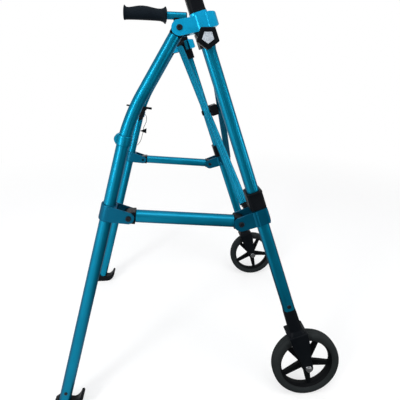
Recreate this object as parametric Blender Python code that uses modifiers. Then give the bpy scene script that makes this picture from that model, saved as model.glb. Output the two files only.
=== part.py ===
# Two-wheeled folding walker. Metres, +Z up, +X forward, +Y the user's left.
# The origin is on the floor, in the middle of the bounding box.
import math

import bmesh
import bpy
from mathutils import Matrix, Vector

# Driving dimensions
WHEEL_RADIUS = 0.076
TRACK = 0.445
LEG_LEAN = math.radians(17.5)
GAP = 0.0003

LEG_DEEP = 0.0248
LEG_WIDE = 0.025
LEG_CORNER = 0.008
LEG_WALL = 0.0015
LEG_BOTTOM = 0.143
LEG_TOP = 0.815

CROWN_BOTTOM = 0.0780
CROWN_TOP = 0.0840
SHOULDER_TOP = 0.0925
CROWN_DEEP = 0.042
FORK_HALF = 0.020
FORK_PLATE = 0.004
FORK_BOSS = 0.0105

COLLAR_BOTTOM = 0.388
COLLAR_TOP = 0.4255
STRAP_BOTTOM = 0.354
LOW_PIVOT = 0.372
HIGH_PIVOT = 0.779
CLAMP_BOTTOM = 0.7265
CLAMP_TOP = 0.7565
BRACKET_TOP = 0.7865
SLEEVE_TOP = 0.8405
KNOB_UP = 0.741
COLLAR_HALF_DEEP = 0.0166
CHEEK_OUTSIDE = 0.0163
CHEEK_INSIDE = 0.0131
BACK_WALL = 0.0264
LUG_PLATE = 0.0038
PIVOT_INBOARD = 0.0305
BAR_PLANE = 0.0195
BAR_RADIUS = 0.0095
EYE_REACH = 0.0157

BACK_BOLT = (-0.042, 0.775)
FRONT_BOLT = (-0.0436, 0.3704)
REAR_BOLT = (-0.2531, 0.4590)
SIDE_TUBE_RADIUS = 0.0125
SIDE_TUBE_START = 0.0140

REAR_BEND_BACK = 0.3726
REAR_BEND_UP = 0.6348
REAR_TILT = math.radians(14.67)
REAR_TUBE_END = 0.0205
RING_UP = 0.593
FOOT_BACK_HALF = 0.0200

HANDLE_UP = 0.8705
HANDLE_TILT = math.radians(2.6)
HANDLE_FRONT = 0.035
GRIP_START = 0.027
GRIP_LENGTH = 0.137
HANDLE_RADIUS = 0.0125
POST_BOTTOM = 0.500

ROUND = 24
SMALL_ROUND = 16

# Derived places
HALF_TRACK = TRACK / 2
FOOT_BACK = REAR_BEND_BACK + math.tan(REAR_TILT) * REAR_BEND_UP
AXLE_X = (FOOT_BACK + FOOT_BACK_HALF - WHEEL_RADIUS) / 2
SIDES = {"left": 1, "right": -1}

for old in list(bpy.data.objects):
    bpy.data.objects.remove(old)

scene = bpy.context.scene
scene.unit_settings.system = "METRIC"
scene.unit_settings.scale_length = 1.0
walker = bpy.data.collections.new("two_wheeled_walker")
helpers = bpy.data.collections.new("helpers")
scene.collection.children.link(walker)
scene.collection.children.link(helpers)


def material(name, colour, rough, metal):
    made = bpy.data.materials.new(name)
    made.use_nodes = True
    shader = made.node_tree.nodes["Principled BSDF"]
    shader.inputs["Base Color"].default_value = (*colour, 1)
    shader.inputs["Roughness"].default_value = rough
    shader.inputs["Metallic"].default_value = metal
    return made


TEAL = material("teal_paint", (0.010, 0.235, 0.420), 0.28, 0.6)
BLUE = material("bracket_paint", (0.014, 0.330, 0.620), 0.4, 0.2)
BLACK = material("black_plastic", (0.018, 0.019, 0.021), 0.5, 0.0)
RUBBER = material("tyre_rubber", (0.035, 0.037, 0.038), 0.8, 0.0)
GRIPPY = material("grip_rubber", (0.020, 0.022, 0.025), 0.7, 0.0)
STEEL = material("bolt_steel", (0.45, 0.46, 0.47), 0.35, 1.0)
DARK = material("dark_bolt", (0.02, 0.02, 0.025), 0.45, 0.4)
SILVER = material("silver_insert", (0.55, 0.60, 0.65), 0.5, 0.3)
CORD = material("cord_black", (0.02, 0.02, 0.02), 0.8, 0.0)


# Frames
def tilted(x, y, z, angle):
    return Matrix.Translation((x, y, z)) @ Matrix.Rotation(angle, 4, "Y")


def leg_frame(side):
    return tilted(AXLE_X, side * HALF_TRACK, WHEEL_RADIUS, -LEG_LEAN)


def at(x, y, z):
    return Matrix.Translation((x, y, z))


# Outline (u, v) drawn in the side plane, thickness along Y
SIDEWAYS = Matrix.Rotation(math.pi / 2, 4, "X")
# Outline (u, v) drawn in the front plane, thickness along X
FRONTWAYS = Matrix(((0, 0, 1, 0), (1, 0, 0, 0), (0, 1, 0, 0), (0, 0, 0, 1)))


def leg_point(forward, up):
    return (
        AXLE_X - math.sin(LEG_LEAN) * up + math.cos(LEG_LEAN) * forward,
        WHEEL_RADIUS + math.cos(LEG_LEAN) * up + math.sin(LEG_LEAN) * forward,
    )


# Shapes
def arc(cx, cy, radius, start, end, count):
    step = math.radians(end - start) / count
    first = math.radians(start)
    return [
        (cx + radius * math.cos(first + step * i), cy + radius * math.sin(first + step * i))
        for i in range(count + 1)
    ]


def rounded(deep, wide, radius, count=3, cx=0.0, cy=0.0):
    hx = deep / 2 - radius
    hy = wide / 2 - radius
    points = []
    for sx, sy, start in ((1, 1, 0), (-1, 1, 90), (-1, -1, 180), (1, -1, 270)):
        points += arc(cx + sx * hx, cy + sy * hy, radius, start, start + 90, count)
    return points


def finish(name, mesh, where, paint, smooth):
    if paint:
        mesh.materials.append(paint)
    made = bpy.data.objects.new(name, mesh)
    made.matrix_world = where
    if smooth:
        mesh.shade_smooth()
    if paint:
        walker.objects.link(made)
    else:
        helpers.objects.link(made)
        made.hide_render = True
        made.display_type = "WIRE"
    return made


def baked(curve, name):
    """The mesh of a curve, closed along its seams."""
    drawn = bpy.data.objects.new(name, curve)
    scene.collection.objects.link(drawn)
    bpy.context.view_layer.update()
    graph = bpy.context.evaluated_depsgraph_get()
    mesh = bpy.data.meshes.new_from_object(drawn.evaluated_get(graph))
    bpy.data.objects.remove(drawn)
    work = bmesh.new()
    work.from_mesh(mesh)
    bmesh.ops.remove_doubles(work, verts=work.verts, dist=1e-6)
    bmesh.ops.recalc_face_normals(work, faces=work.faces)
    work.to_mesh(mesh)
    work.free()
    mesh.name = name
    mesh.materials.clear()
    return mesh


def plate(name, loops, thick, where, paint=None, smooth=False):
    """A flat outline, with holes, given thickness evenly to both sides."""
    curve = bpy.data.curves.new(name, "CURVE")
    curve.dimensions = "2D"
    curve.fill_mode = "BOTH"
    curve.extrude = thick / 2
    for points in loops:
        spline = curve.splines.new("POLY")
        spline.points.add(len(points) - 1)
        for point, (u, v) in zip(spline.points, points):
            point.co = (u, v, 0, 1)
        spline.use_cyclic_u = True
    return finish(name, baked(curve, name), where, paint, smooth)


def tube(name, points, radius, where, paint=None, around=ROUND, smooth=True):
    curve = bpy.data.curves.new(name, "CURVE")
    curve.dimensions = "3D"
    curve.bevel_depth = radius
    curve.bevel_resolution = around // 4 - 2
    curve.use_fill_caps = True
    spline = curve.splines.new("POLY")
    spline.points.add(len(points) - 1)
    for point, place in zip(spline.points, points):
        point.co = (*place, 1)
    return finish(name, baked(curve, name), where, paint, smooth)


def turned(name, profile, where, paint=None, around=ROUND, closed=False, smooth=True):
    """A profile of (radius, height) turned about local Z."""
    work = bmesh.new()
    verts = [work.verts.new((r, 0, z)) for r, z in profile]
    edges = [work.edges.new(pair) for pair in zip(verts, verts[1:])]
    if closed:
        edges.append(work.edges.new((verts[-1], verts[0])))
    bmesh.ops.spin(
        work,
        geom=verts + edges,
        cent=(0, 0, 0),
        axis=(0, 0, 1),
        angle=2 * math.pi,
        steps=around,
        use_merge=True,
    )
    bmesh.ops.remove_doubles(work, verts=work.verts, dist=1e-7)
    bmesh.ops.recalc_face_normals(work, faces=work.faces)
    mesh = bpy.data.meshes.new(name)
    work.to_mesh(mesh)
    work.free()
    return finish(name, mesh, where, paint, smooth)


def rod(name, radius, start, end, where, paint=None, around=SMALL_ROUND):
    return turned(name, [(0, start), (radius, start), (radius, end), (0, end)], where, paint, around)


def lofted(name, rings, where, paint=None, smooth=False):
    """Rings of equal point counts, joined in turn and capped."""
    work = bmesh.new()
    made = [[work.verts.new(point) for point in ring] for ring in rings]
    for low, high in zip(made, made[1:]):
        for i, vert in enumerate(low):
            after = (i + 1) % len(low)
            work.faces.new((vert, low[after], high[after], high[i]))
    work.faces.new(made[0][::-1])
    work.faces.new(made[-1])
    bmesh.ops.recalc_face_normals(work, faces=work.faces)
    mesh = bpy.data.meshes.new(name)
    work.to_mesh(mesh)
    work.free()
    return finish(name, mesh, where, paint, smooth)


def box(name, low, high, where, paint=None, bevel=0.0):
    work = bmesh.new()
    size = [b - a for a, b in zip(low, high)]
    middle = [(a + b) / 2 for a, b in zip(low, high)]
    bmesh.ops.create_cube(
        work, size=1, matrix=Matrix.Translation(middle) @ Matrix.Diagonal((*size, 1))
    )
    mesh = bpy.data.meshes.new(name)
    work.to_mesh(mesh)
    work.free()
    made = finish(name, mesh, where, paint, False)
    if bevel:
        edge = made.modifiers.new("edge", "BEVEL")
        edge.width = bevel
        edge.segments = 2
        edge.use_clamp_overlap = False
    return made


def boolean(obj, tool, operation):
    step = obj.modifiers.new(tool.name, "BOOLEAN")
    step.operation = operation
    step.solver = "EXACT"
    step.object = tool


def join(obj, *tools):
    for tool in tools:
        boolean(obj, tool, "UNION")


def cut(obj, *tools):
    for tool in tools:
        boolean(obj, tool, "DIFFERENCE")


def y_span(side, inner, outer):
    """Y range between two distances outboard of the leg's middle plane."""
    ends = sorted((side * inner, side * outer))
    return ends[0], ends[1]


def side_box(name, side, x, y, z, where, paint=None, bevel=0.0):
    low, high = y_span(side, *y)
    return box(name, (x[0], low, z[0]), (x[1], high, z[1]), where, paint, bevel)


BORE_DEEP = LEG_DEEP + 2 * GAP
BORE_WIDE = LEG_WIDE + 2 * GAP
ACROSS = Matrix.Rotation(math.pi / 2, 4, "X")


def across(where, x, z):
    """A frame whose Z runs along the walker's Y."""
    return where @ at(x, 0, z) @ ACROSS


def along(where, x, y, z):
    """A frame whose Z runs forward, square to the leg."""
    return where @ at(x, y, z) @ Matrix.Rotation(math.pi / 2, 4, "Y")


def pivot_pin(name, where, y, z, plane_sign):
    """A plain pin with a flat head, for one eye of the cross brace."""
    turn = Matrix.Rotation(math.pi / 2 * plane_sign, 4, "Y")
    profile = [
        (0, 0.004),
        (0.0030, 0.004),
        (0.0030, 0.0249),
        (0.0055, 0.0249),
        (0.0055, 0.0258),
        (0.0040, 0.0268),
        (0, 0.0268),
    ]
    return turned(name, profile, where @ at(0, y, z) @ turn, None, SMALL_ROUND)


def clamp(name, side, bottom, top, pivot, where, plane_sign):
    """Black clamp round the leg, with the lug and pin of one brace end on its inner side."""
    outer = side * CHEEK_OUTSIDE
    inner = -side * (CHEEK_OUTSIDE + GAP + LUG_PLATE)
    middle = (outer + inner) / 2
    wide = abs(outer - inner)
    around = rounded(2 * COLLAR_HALF_DEEP, wide, 0.006, 3, 0, middle)
    bore = rounded(BORE_DEEP, BORE_WIDE, LEG_CORNER, 3)
    made = plate(name, [around, bore], top - bottom, where @ at(0, 0, (bottom + top) / 2), BLACK)
    low = min(bottom, pivot - 0.009) + 0.001
    high = max(top, pivot + 0.009) - 0.001
    web_in = -(CHEEK_OUTSIDE + GAP + LUG_PLATE)
    # The lug stands on the half of the leg where its bar runs
    web = side_box(
        name + "_web",
        side,
        sorted((plane_sign * 0.0020, plane_sign * 0.0125)),
        (-(CHEEK_OUTSIDE + GAP), web_in),
        (low, high),
        where,
    )
    arm = side_box(
        name + "_arm",
        side,
        sorted((plane_sign * 0.0031, plane_sign * (BAR_PLANE - 0.0054))),
        (web_in + 0.001, -PIVOT_INBOARD),
        (pivot - 0.008, pivot + 0.008),
        where,
    )
    knuckle = rod(
        name + "_knuckle",
        0.009,
        *sorted((plane_sign * 0.0030, plane_sign * (BAR_PLANE - 0.0053))),
        along(where, 0, -side * PIVOT_INBOARD, pivot),
        None,
        20,
    )
    pin = pivot_pin(name + "_pin", where, -side * PIVOT_INBOARD, pivot, plane_sign)
    join(made, web, arm, knuckle, pin)
    return made


def clevis_bolt(name, where, x, z, half):
    """Dark bolt with a low head on both cheeks."""
    profile = [
        (0, -half - 0.0014),
        (0.0050, -half - 0.0014),
        (0.0056, -half - GAP),
        (0.0033, -half - GAP),
        (0.0033, half + GAP),
        (0.0056, half + GAP),
        (0.0050, half + 0.0014),
        (0, half + 0.0014),
    ]
    return turned(name, profile, across(where, x, z), DARK, SMALL_ROUND)


def build_side(word, side):
    leg = leg_frame(side)
    # The brace bar in the front plane starts at the right top and ends at the left bottom
    high_sign = 1 if side < 0 else -1
    low_sign = -high_sign

    # Front leg
    skin = rounded(LEG_DEEP, LEG_WIDE, LEG_CORNER)
    hollow = rounded(
        LEG_DEEP - 2 * LEG_WALL, LEG_WIDE - 2 * LEG_WALL, LEG_CORNER - LEG_WALL
    )
    length = LEG_TOP - LEG_BOTTOM
    front_leg = plate(
        word + "_front_leg", [skin, hollow], length, leg @ at(0, 0, LEG_BOTTOM + length / 2), TEAL
    )
    knob_hole = rod(
        word + "_knob_hole", 0.0044, 0.004, 0.030, across(leg, 0, KNOB_UP) @ Matrix.Rotation(
            math.pi if side > 0 else 0, 4, "X"
        )
    )
    cut(front_leg, knob_hole)

    # Fork
    fork_side = arc(0, 0, FORK_BOSS, 180, 360, 10) + [
        (0.0118, 0.020),
        (0.0195, 0.060),
        (0.0195, CROWN_BOTTOM + 0.002),
        (-0.0195, CROWN_BOTTOM + 0.002),
        (-0.0195, 0.060),
        (-0.0118, 0.020),
    ]
    plate_middle = FORK_HALF - FORK_PLATE / 2
    fork = side_box(
        word + "_fork",
        1,
        (-CROWN_DEEP / 2, CROWN_DEEP / 2),
        (-FORK_HALF, FORK_HALF),
        (CROWN_BOTTOM, CROWN_TOP),
        leg,
        BLACK,
        0.002,
    )
    plates = [
        plate(
            f"{word}_fork_plate_{i}", [fork_side], FORK_PLATE, leg @ at(0, y, 0) @ SIDEWAYS
        )
        for i, y in enumerate((-plate_middle, plate_middle))
    ]
    stem = lofted(
        word + "_fork_stem",
        [
            [(x, y, CROWN_TOP - 0.002) for x, y in rounded(0.0370, 0.0350, LEG_CORNER)],
            [(x, y, SHOULDER_TOP) for x, y in rounded(0.0282, 0.0270, LEG_CORNER)],
            [(x, y, LEG_BOTTOM - 0.012) for x, y in rounded(0.0268, 0.0260, LEG_CORNER)],
            [(x, y, LEG_BOTTOM - GAP) for x, y in rounded(LEG_DEEP, LEG_WIDE, LEG_CORNER)],
        ],
        leg,
    )
    plug = plate(
        word + "_fork_plug",
        [rounded(LEG_DEEP - 2 * LEG_WALL - 0.0006, LEG_WIDE - 2 * LEG_WALL - 0.0006, 0.006)],
        0.050,
        leg @ at(0, 0, LEG_BOTTOM + 0.020),
    )
    join(fork, *plates, stem, plug)
    cut(fork, rod(word + "_axle_bore", 0.0044, -0.03, 0.03, across(leg, 0, 0)))

    # Wheel, tyre and axle bolt
    wheel_place = tilted(AXLE_X, side * HALF_TRACK, WHEEL_RADIUS, 0)
    wheel_axis = wheel_place @ ACROSS
    rim = turned(
        word + "_wheel_rim",
        [(0.0552, -0.0032), (0.0552, 0.0032), (0.0568, 0.0068), (0.0580, 0.0086)]
        + [(0.0590, 0.0086), (0.0590, -0.0086), (0.0580, -0.0086), (0.0568, -0.0068)],
        wheel_axis,
        BLACK,
        40,
        True,
    )
    spokes = []
    for i in range(5):
        angle = math.radians(-(209 + 72 * i))
        spokes.append(
            lofted(
                f"{word}_spoke_{i}",
                [
                    [(x, y, 0.006) for x, y in rounded(0.0150, 0.0064, 0.0015, 1)],
                    [(x, y, 0.0565) for x, y in rounded(0.0096, 0.0064, 0.0015, 1)],
                ],
                wheel_place @ Matrix.Rotation(angle, 4, "Y") @ Matrix.Rotation(math.pi / 2, 4, "Y"),
            )
        )
    hub = rod(word + "_wheel_hub", 0.0140, -0.0156, 0.0156, wheel_axis, None, ROUND)
    join(rim, hub, *spokes)
    cut(rim, rod(word + "_hub_bore", 0.0044, -0.03, 0.03, wheel_axis))
    turned(
        word + "_tyre",
        [
            (0.0593, -0.0088),
            (0.0593, 0.0088),
            (0.0680, 0.0108),
            (0.0720, 0.0103),
            (0.0750, 0.0074),
            (WHEEL_RADIUS, 0.0036),
            (WHEEL_RADIUS, -0.0036),
            (0.0750, -0.0074),
            (0.0720, -0.0103),
            (0.0680, -0.0108),
        ],
        wheel_axis,
        RUBBER,
        48,
        True,
    )
    turned(
        word + "_axle_bolt",
        [
            (0, -0.0246),
            (0.0050, -0.0240),
            (0.0062, -0.0225),
            (0.0062, -FORK_HALF - GAP),
            (0.0040, -FORK_HALF - GAP),
            (0.0040, FORK_HALF + GAP),
            (0.0062, FORK_HALF + GAP),
            (0.0062, 0.0225),
            (0.0050, 0.0240),
            (0, 0.0246),
        ],
        across(leg, 0, 0),
        STEEL,
        SMALL_ROUND,
    )

    # Sliding collar and its strap bracket with the front bolt of the side bar
    clamp(word + "_slide_collar", side, COLLAR_BOTTOM, COLLAR_TOP, LOW_PIVOT, leg, low_sign)
    bolt_x, bolt_z = FRONT_BOLT
    strap = (
        arc(bolt_x, bolt_z, 0.0150, 110, 262, 8)
        + [(-0.020, STRAP_BOTTOM), (0.0142, STRAP_BOTTOM), (0.0160, STRAP_BOTTOM + 0.004)]
        + [(0.0170, STRAP_BOTTOM + 0.012), (0.0168, STRAP_BOTTOM + 0.022), (0.0160, COLLAR_BOTTOM - GAP)]
    )
    bracket = plate(
        word + "_slide_bracket", [strap], 2 * CHEEK_OUTSIDE, leg @ SIDEWAYS, TEAL
    )
    strap_slot = box(
        word + "_strap_slot",
        (-0.090, -CHEEK_INSIDE, STRAP_BOTTOM - 0.02),
        (BORE_DEEP / 2, CHEEK_INSIDE, COLLAR_BOTTOM + 0.02),
        leg,
    )
    strap_bore = rod(word + "_strap_bore", 0.0037, -0.03, 0.03, across(leg, bolt_x, bolt_z))
    cut(bracket, strap_slot, strap_bore)
    clevis_bolt(word + "_front_clevis_bolt", leg, bolt_x, bolt_z, CHEEK_OUTSIDE)

    # Fixed clamp under the upper bracket, with the boss of the height knob
    top = clamp(word + "_top_collar", side, CLAMP_BOTTOM, CLAMP_TOP, HIGH_PIVOT, leg, high_sign)
    outward = across(leg, 0, KNOB_UP) @ Matrix.Rotation(math.pi if side > 0 else 0, 4, "X")
    join(top, rod(word + "_knob_boss", 0.0105, 0.0145, 0.0205, outward, None, 20))
    cut(top, rod(word + "_boss_hole", 0.0044, 0.010, 0.030, outward))

    # Upper bracket with the bolt of the rear leg
    back_x, back_z = BACK_BOLT
    upper = (
        arc(back_x, back_z, 0.0150, 100, 262, 8)
        + [(-0.0100, CLAMP_TOP + GAP), (0.0275, CLAMP_TOP + GAP), (0.0305, CLAMP_TOP + 0.003)]
        + [(0.0305, BRACKET_TOP - 0.0065), (0.0290, BRACKET_TOP - 0.0032), (0.0175, BRACKET_TOP)]
        + [(-0.0180, BRACKET_TOP)]
    )
    upper_bracket = plate(
        word + "_upper_bracket", [upper], 2 * CHEEK_OUTSIDE, leg @ SIDEWAYS, BLUE
    )
    # One slot for the rear leg's eye, and one for the front leg that is open towards the other side
    upper_slot = box(
        word + "_upper_slot",
        (-0.090, -CHEEK_INSIDE, CLAMP_TOP - 0.03),
        (-BACK_WALL, CHEEK_INSIDE, BRACKET_TOP + 0.03),
        leg,
    )
    leg_slot = side_box(
        word + "_leg_slot",
        side,
        (-BORE_DEEP / 2, BORE_DEEP / 2),
        (-0.030, CHEEK_INSIDE),
        (CLAMP_TOP - 0.03, BRACKET_TOP + 0.03),
        leg,
    )
    upper_bore = rod(word + "_upper_bore", 0.0037, -0.03, 0.03, across(leg, back_x, back_z))
    cut(upper_bracket, upper_slot, leg_slot, upper_bore)
    clevis_bolt(word + "_upper_pivot_bolt", leg, back_x, back_z, CHEEK_OUTSIDE)

    # Sleeve at the top of the leg, where the handle post comes out
    sleeve_low = BRACKET_TOP + GAP
    sleeve_length = SLEEVE_TOP - sleeve_low
    post_sleeve = plate(
        word + "_post_sleeve",
        [rounded(0.0306, 0.0284, 0.0085)],
        sleeve_length,
        leg @ at(0, 0, sleeve_low + sleeve_length / 2),
        BLACK,
    )
    leg_pocket = plate(
        word + "_leg_pocket",
        [rounded(BORE_DEEP, BORE_WIDE, LEG_CORNER)],
        0.060,
        leg @ at(0, 0, LEG_TOP + GAP - 0.030),
    )
    post_pocket = plate(
        word + "_post_pocket", [rounded(0.0212, 0.0212, 0.006)], 0.080, leg @ at(0, 0, LEG_TOP + 0.030)
    )
    cut(post_sleeve, leg_pocket, post_pocket)

    # Handle post, handle tube and grip
    handle_x, handle_z = leg_point(0, HANDLE_UP)
    handle = tilted(handle_x, side * HALF_TRACK, handle_z, -math.pi / 2 + HANDLE_TILT)
    post_top = HANDLE_UP + 0.004
    post = plate(
        word + "_handle_post",
        [rounded(0.0206, 0.0206, 0.006)],
        post_top - POST_BOTTOM,
        leg @ at(0, 0, (post_top + POST_BOTTOM) / 2),
        BLACK,
    )
    cut(post, rod(word + "_saddle", HANDLE_RADIUS + GAP, -0.05, 0.05, handle, None, ROUND))
    tube_end = GRIP_START + GRIP_LENGTH - 0.006
    tube(
        word + "_handle_tube",
        [(0, 0, -HANDLE_FRONT), (0, 0, tube_end)],
        HANDLE_RADIUS,
        handle,
        TEAL,
    )
    # Distance along the grip, then its top and its underside from the tube's middle
    stations = (
        (0.0000, 0.0145, 0.0145),
        (0.0045, 0.0270, 0.0270),
        (0.0080, 0.0270, 0.0265),
        (0.0200, 0.0195, 0.0190),
        (0.0400, 0.0210, 0.0185),
        (0.0620, 0.0255, 0.0180),
        (0.0820, 0.0270, 0.0180),
        (0.1020, 0.0240, 0.0182),
        (0.1200, 0.0200, 0.0185),
        (0.1290, 0.0200, 0.0190),
        (0.1340, 0.0265, 0.0195),
        (GRIP_LENGTH, 0.0240, 0.0185),
    )
    rings = []
    for distance, above, below in stations:
        radius = (above + below) / 2
        wide = min(radius, 0.0200) if 0.01 < distance < 0.13 else radius
        lift = (above - below) / 2
        rings.append(
            [
                (lift + radius * math.cos(t), wide * math.sin(t), GRIP_START + distance)
                for t in (2 * math.pi * i / ROUND for i in range(ROUND))
            ]
        )
    grip = lofted(word + "_handle_grip", rings, handle, GRIPPY, True)
    cut(grip, rod(word + "_grip_bore", HANDLE_RADIUS + GAP, 0.010, tube_end + GAP, handle, None, ROUND))

    # Height knob with its insert, one point hanging straight down
    def pentagon(radius, corner):
        points = []
        for i in range(5):
            angle = 270 - math.degrees(LEG_LEAN) + 72 * i
            reach = radius - corner / math.cos(math.radians(36))
            cx = reach * math.cos(math.radians(angle))
            cy = reach * math.sin(math.radians(angle))
            points += arc(cx, cy, corner, angle - 36, angle + 36, 3)
        return points

    face = 0.0330
    knob = plate(
        word + "_height_knob",
        [pentagon(0.0224, 0.0030)],
        face - 0.0210,
        leg @ at(0, side * (face + 0.0210) / 2, KNOB_UP) @ SIDEWAYS,
        BLACK,
    )
    cut(
        knob,
        plate(
            word + "_knob_pocket",
            [pentagon(0.0120, 0.0008)],
            0.0030,
            leg @ at(0, side * face, KNOB_UP) @ SIDEWAYS,
        ),
    )
    join(knob, rod(word + "_knob_rod", 0.0040, 0.0108, 0.0240, outward))
    plate(
        word + "_knob_insert",
        [pentagon(0.0116, 0.0008)],
        0.0016,
        leg @ at(0, side * (face - 0.0015 + 0.0011), KNOB_UP) @ SIDEWAYS,
        SILVER,
    )

    # Rear leg
    p_x, p_z = leg_point(*BACK_BOLT)
    bend = Vector((AXLE_X - REAR_BEND_BACK, 0, REAR_BEND_UP))
    hinge = Vector((p_x, 0, p_z))
    down = (bend - hinge).normalized()
    slope = Vector((-math.sin(REAR_TILT), 0, -math.cos(REAR_TILT)))
    foot = bend + slope * ((REAR_BEND_UP - REAR_TUBE_END) / math.cos(REAR_TILT))
    corner = 0.055
    path = [hinge + down * (EYE_REACH + GAP)]
    first = bend - down * corner
    last = bend + slope * corner
    for i in range(9):
        t = i / 8
        path.append(first.lerp(bend, t).lerp(bend.lerp(last, t), t))
    path.append(foot)
    rear_place = at(p_x, side * HALF_TRACK, p_z)
    rear_path[word] = [tuple(point - hinge) for point in path]
    rear_leg = tube(
        word + "_rear_leg",
        rear_path[word],
        SIDE_TUBE_RADIUS,
        rear_place,
        TEAL,
    )
    ring_x = AXLE_X - FOOT_BACK + math.tan(REAR_TILT) * RING_UP
    ring_place = tilted(ring_x, side * HALF_TRACK, RING_UP, REAR_TILT)
    ring = turned(
        word + "_ring",
        [
            (0, -0.0100),
            (0.0146, -0.0100),
            (0.0152, -0.0090),
            (0.0152, 0.0090),
            (0.0146, 0.0100),
            (0, 0.0100),
        ],
        ring_place,
        None,
        ROUND,
    )
    ear = rod(word + "_ring_ear", 0.0110, -0.0075, 0.0075, across(ring_place, -0.0080, 0.0010), None, 20)
    join(rear_leg, ring, ear)

    # Black eye in the top of the rear leg
    eye_angle = math.atan2(down.x, down.z)
    eye_place = tilted(p_x, side * HALF_TRACK, p_z, eye_angle)
    eye_side = arc(0, 0, SIDE_TUBE_RADIUS, 180, 360, 10) + [
        (SIDE_TUBE_RADIUS, EYE_REACH),
        (-SIDE_TUBE_RADIUS, EYE_REACH),
    ]
    eye = plate(
        word + "_rear_leg_eye", [eye_side], 2 * 0.0127, eye_place @ SIDEWAYS, BLACK
    )
    cut(eye, rod(word + "_rear_eye_bore", 0.0037, -0.03, 0.03, across(eye_place, 0, 0)))

    # Sleeve and clevis on the rear leg
    r_x, r_z = leg_point(*REAR_BOLT)
    from_foot = Vector((r_x - (AXLE_X - FOOT_BACK), 0, r_z))
    up_leg = from_foot.dot(-slope)
    reach = (from_foot + slope * up_leg).length
    sleeve_x = AXLE_X - FOOT_BACK - slope.x * up_leg
    sleeve_z = -slope.z * up_leg
    sleeve_place = tilted(sleeve_x, side * HALF_TRACK, sleeve_z, REAR_TILT)
    half_tall = 0.0165
    cheek = (
        arc(reach, 0, 0.0118, -90, 90, 8)
        + [(0.012, half_tall - 0.001), (0, half_tall - 0.001)]
        + [(0, -half_tall + 0.001), (0.012, -half_tall + 0.001)]
    )
    sleeve = plate(
        word + "_rear_sleeve", [cheek], 2 * 0.0160, sleeve_place @ SIDEWAYS, TEAL
    )
    band = turned(
        word + "_sleeve_band",
        [(0, -half_tall), (0.0152, -half_tall), (0.0158, -half_tall + 0.001), (0.0158, half_tall - 0.001), (0.0152, half_tall), (0, half_tall)],
        sleeve_place,
        None,
        ROUND,
    )
    join(sleeve, band)
    cut(
        sleeve,
        box(
            word + "_clevis_slot", (0.0162, -CHEEK_INSIDE, -0.03), (0.08, CHEEK_INSIDE, 0.03), sleeve_place
        ),
        rod(word + "_sleeve_bore", SIDE_TUBE_RADIUS + GAP, -0.03, 0.03, sleeve_place, None, ROUND),
        rod(word + "_rear_bolt_bore", 0.0037, -0.03, 0.03, across(sleeve_place, reach, 0)),
    )
    turned(
        word + "_rear_clevis_bolt",
        [
            (0, 0.0134),
            (0.0033, 0.0134),
            (0.0033, 0.0160 + GAP),
            (0.0056, 0.0160 + GAP),
            (0.0050, 0.0160 + 0.0014),
            (0, 0.0160 + 0.0014),
        ],
        across(sleeve_place, reach, 0) @ Matrix.Rotation(math.pi if side > 0 else 0, 4, "X"),
        DARK,
        SMALL_ROUND,
    )

    # Side bar with its two black eyes
    q_x, q_z = leg_point(*FRONT_BOLT)
    to_rear = Vector((r_x - q_x, 0, r_z - q_z))
    bar_angle = math.atan2(to_rear.x, to_rear.z)
    bar_place = tilted(q_x, side * HALF_TRACK, q_z, bar_angle)
    tube(
        word + "_side_bar",
        [(0, 0, SIDE_TUBE_START), (0, 0, to_rear.length - SIDE_TUBE_START)],
        SIDE_TUBE_RADIUS,
        bar_place,
        TEAL,
    )
    tongue = arc(0, 0, 0.0115, 180, 360, 10) + [
        (0.0125, SIDE_TUBE_START - GAP),
        (-0.0125, SIDE_TUBE_START - GAP),
    ]
    front_eye = plate(
        word + "_side_bar_front_eye", [tongue], 2 * 0.0127, bar_place @ SIDEWAYS, BLACK
    )
    cut(front_eye, rod(word + "_front_eye_bore", 0.0037, -0.03, 0.03, across(bar_place, 0, 0)))
    far_end = bar_place @ at(0, 0, to_rear.length) @ Matrix.Rotation(math.pi, 4, "Y")
    plate(
        word + "_side_bar_rear_eye", [tongue], 2 * 0.0127, far_end @ SIDEWAYS, BLACK
    )

    # Glide under the rear leg
    glide_place = at(AXLE_X - FOOT_BACK, side * HALF_TRACK, 0)
    middle = math.tan(REAR_TILT) * REAR_TUBE_END
    seat = 0.0135
    drop = math.tan(REAR_TILT) * seat
    glide = [
        (-FOOT_BACK_HALF, 0.0030),
        (-FOOT_BACK_HALF + 0.003, 0.0),
        (0.0190, 0.0),
        (0.0290, 0.0022),
        (0.0380, 0.0090),
        (0.0445, 0.0200),
        (0.0470, 0.0310),
        (0.0445, 0.0342),
        (0.0405, 0.0325),
        (0.0360, 0.0240),
        (0.0290, 0.0175),
        (0.0240, 0.0158),
        (middle + seat, REAR_TUBE_END - drop - 1.2 * GAP),
        (middle - seat, REAR_TUBE_END + drop - 1.2 * GAP),
        (-0.0165, 0.0180),
    ]
    plate(word + "_glide", [glide], 0.0240, glide_place @ SIDEWAYS, BLACK)


rear_path = {}
for word, side in SIDES.items():
    build_side(word, side)


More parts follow.
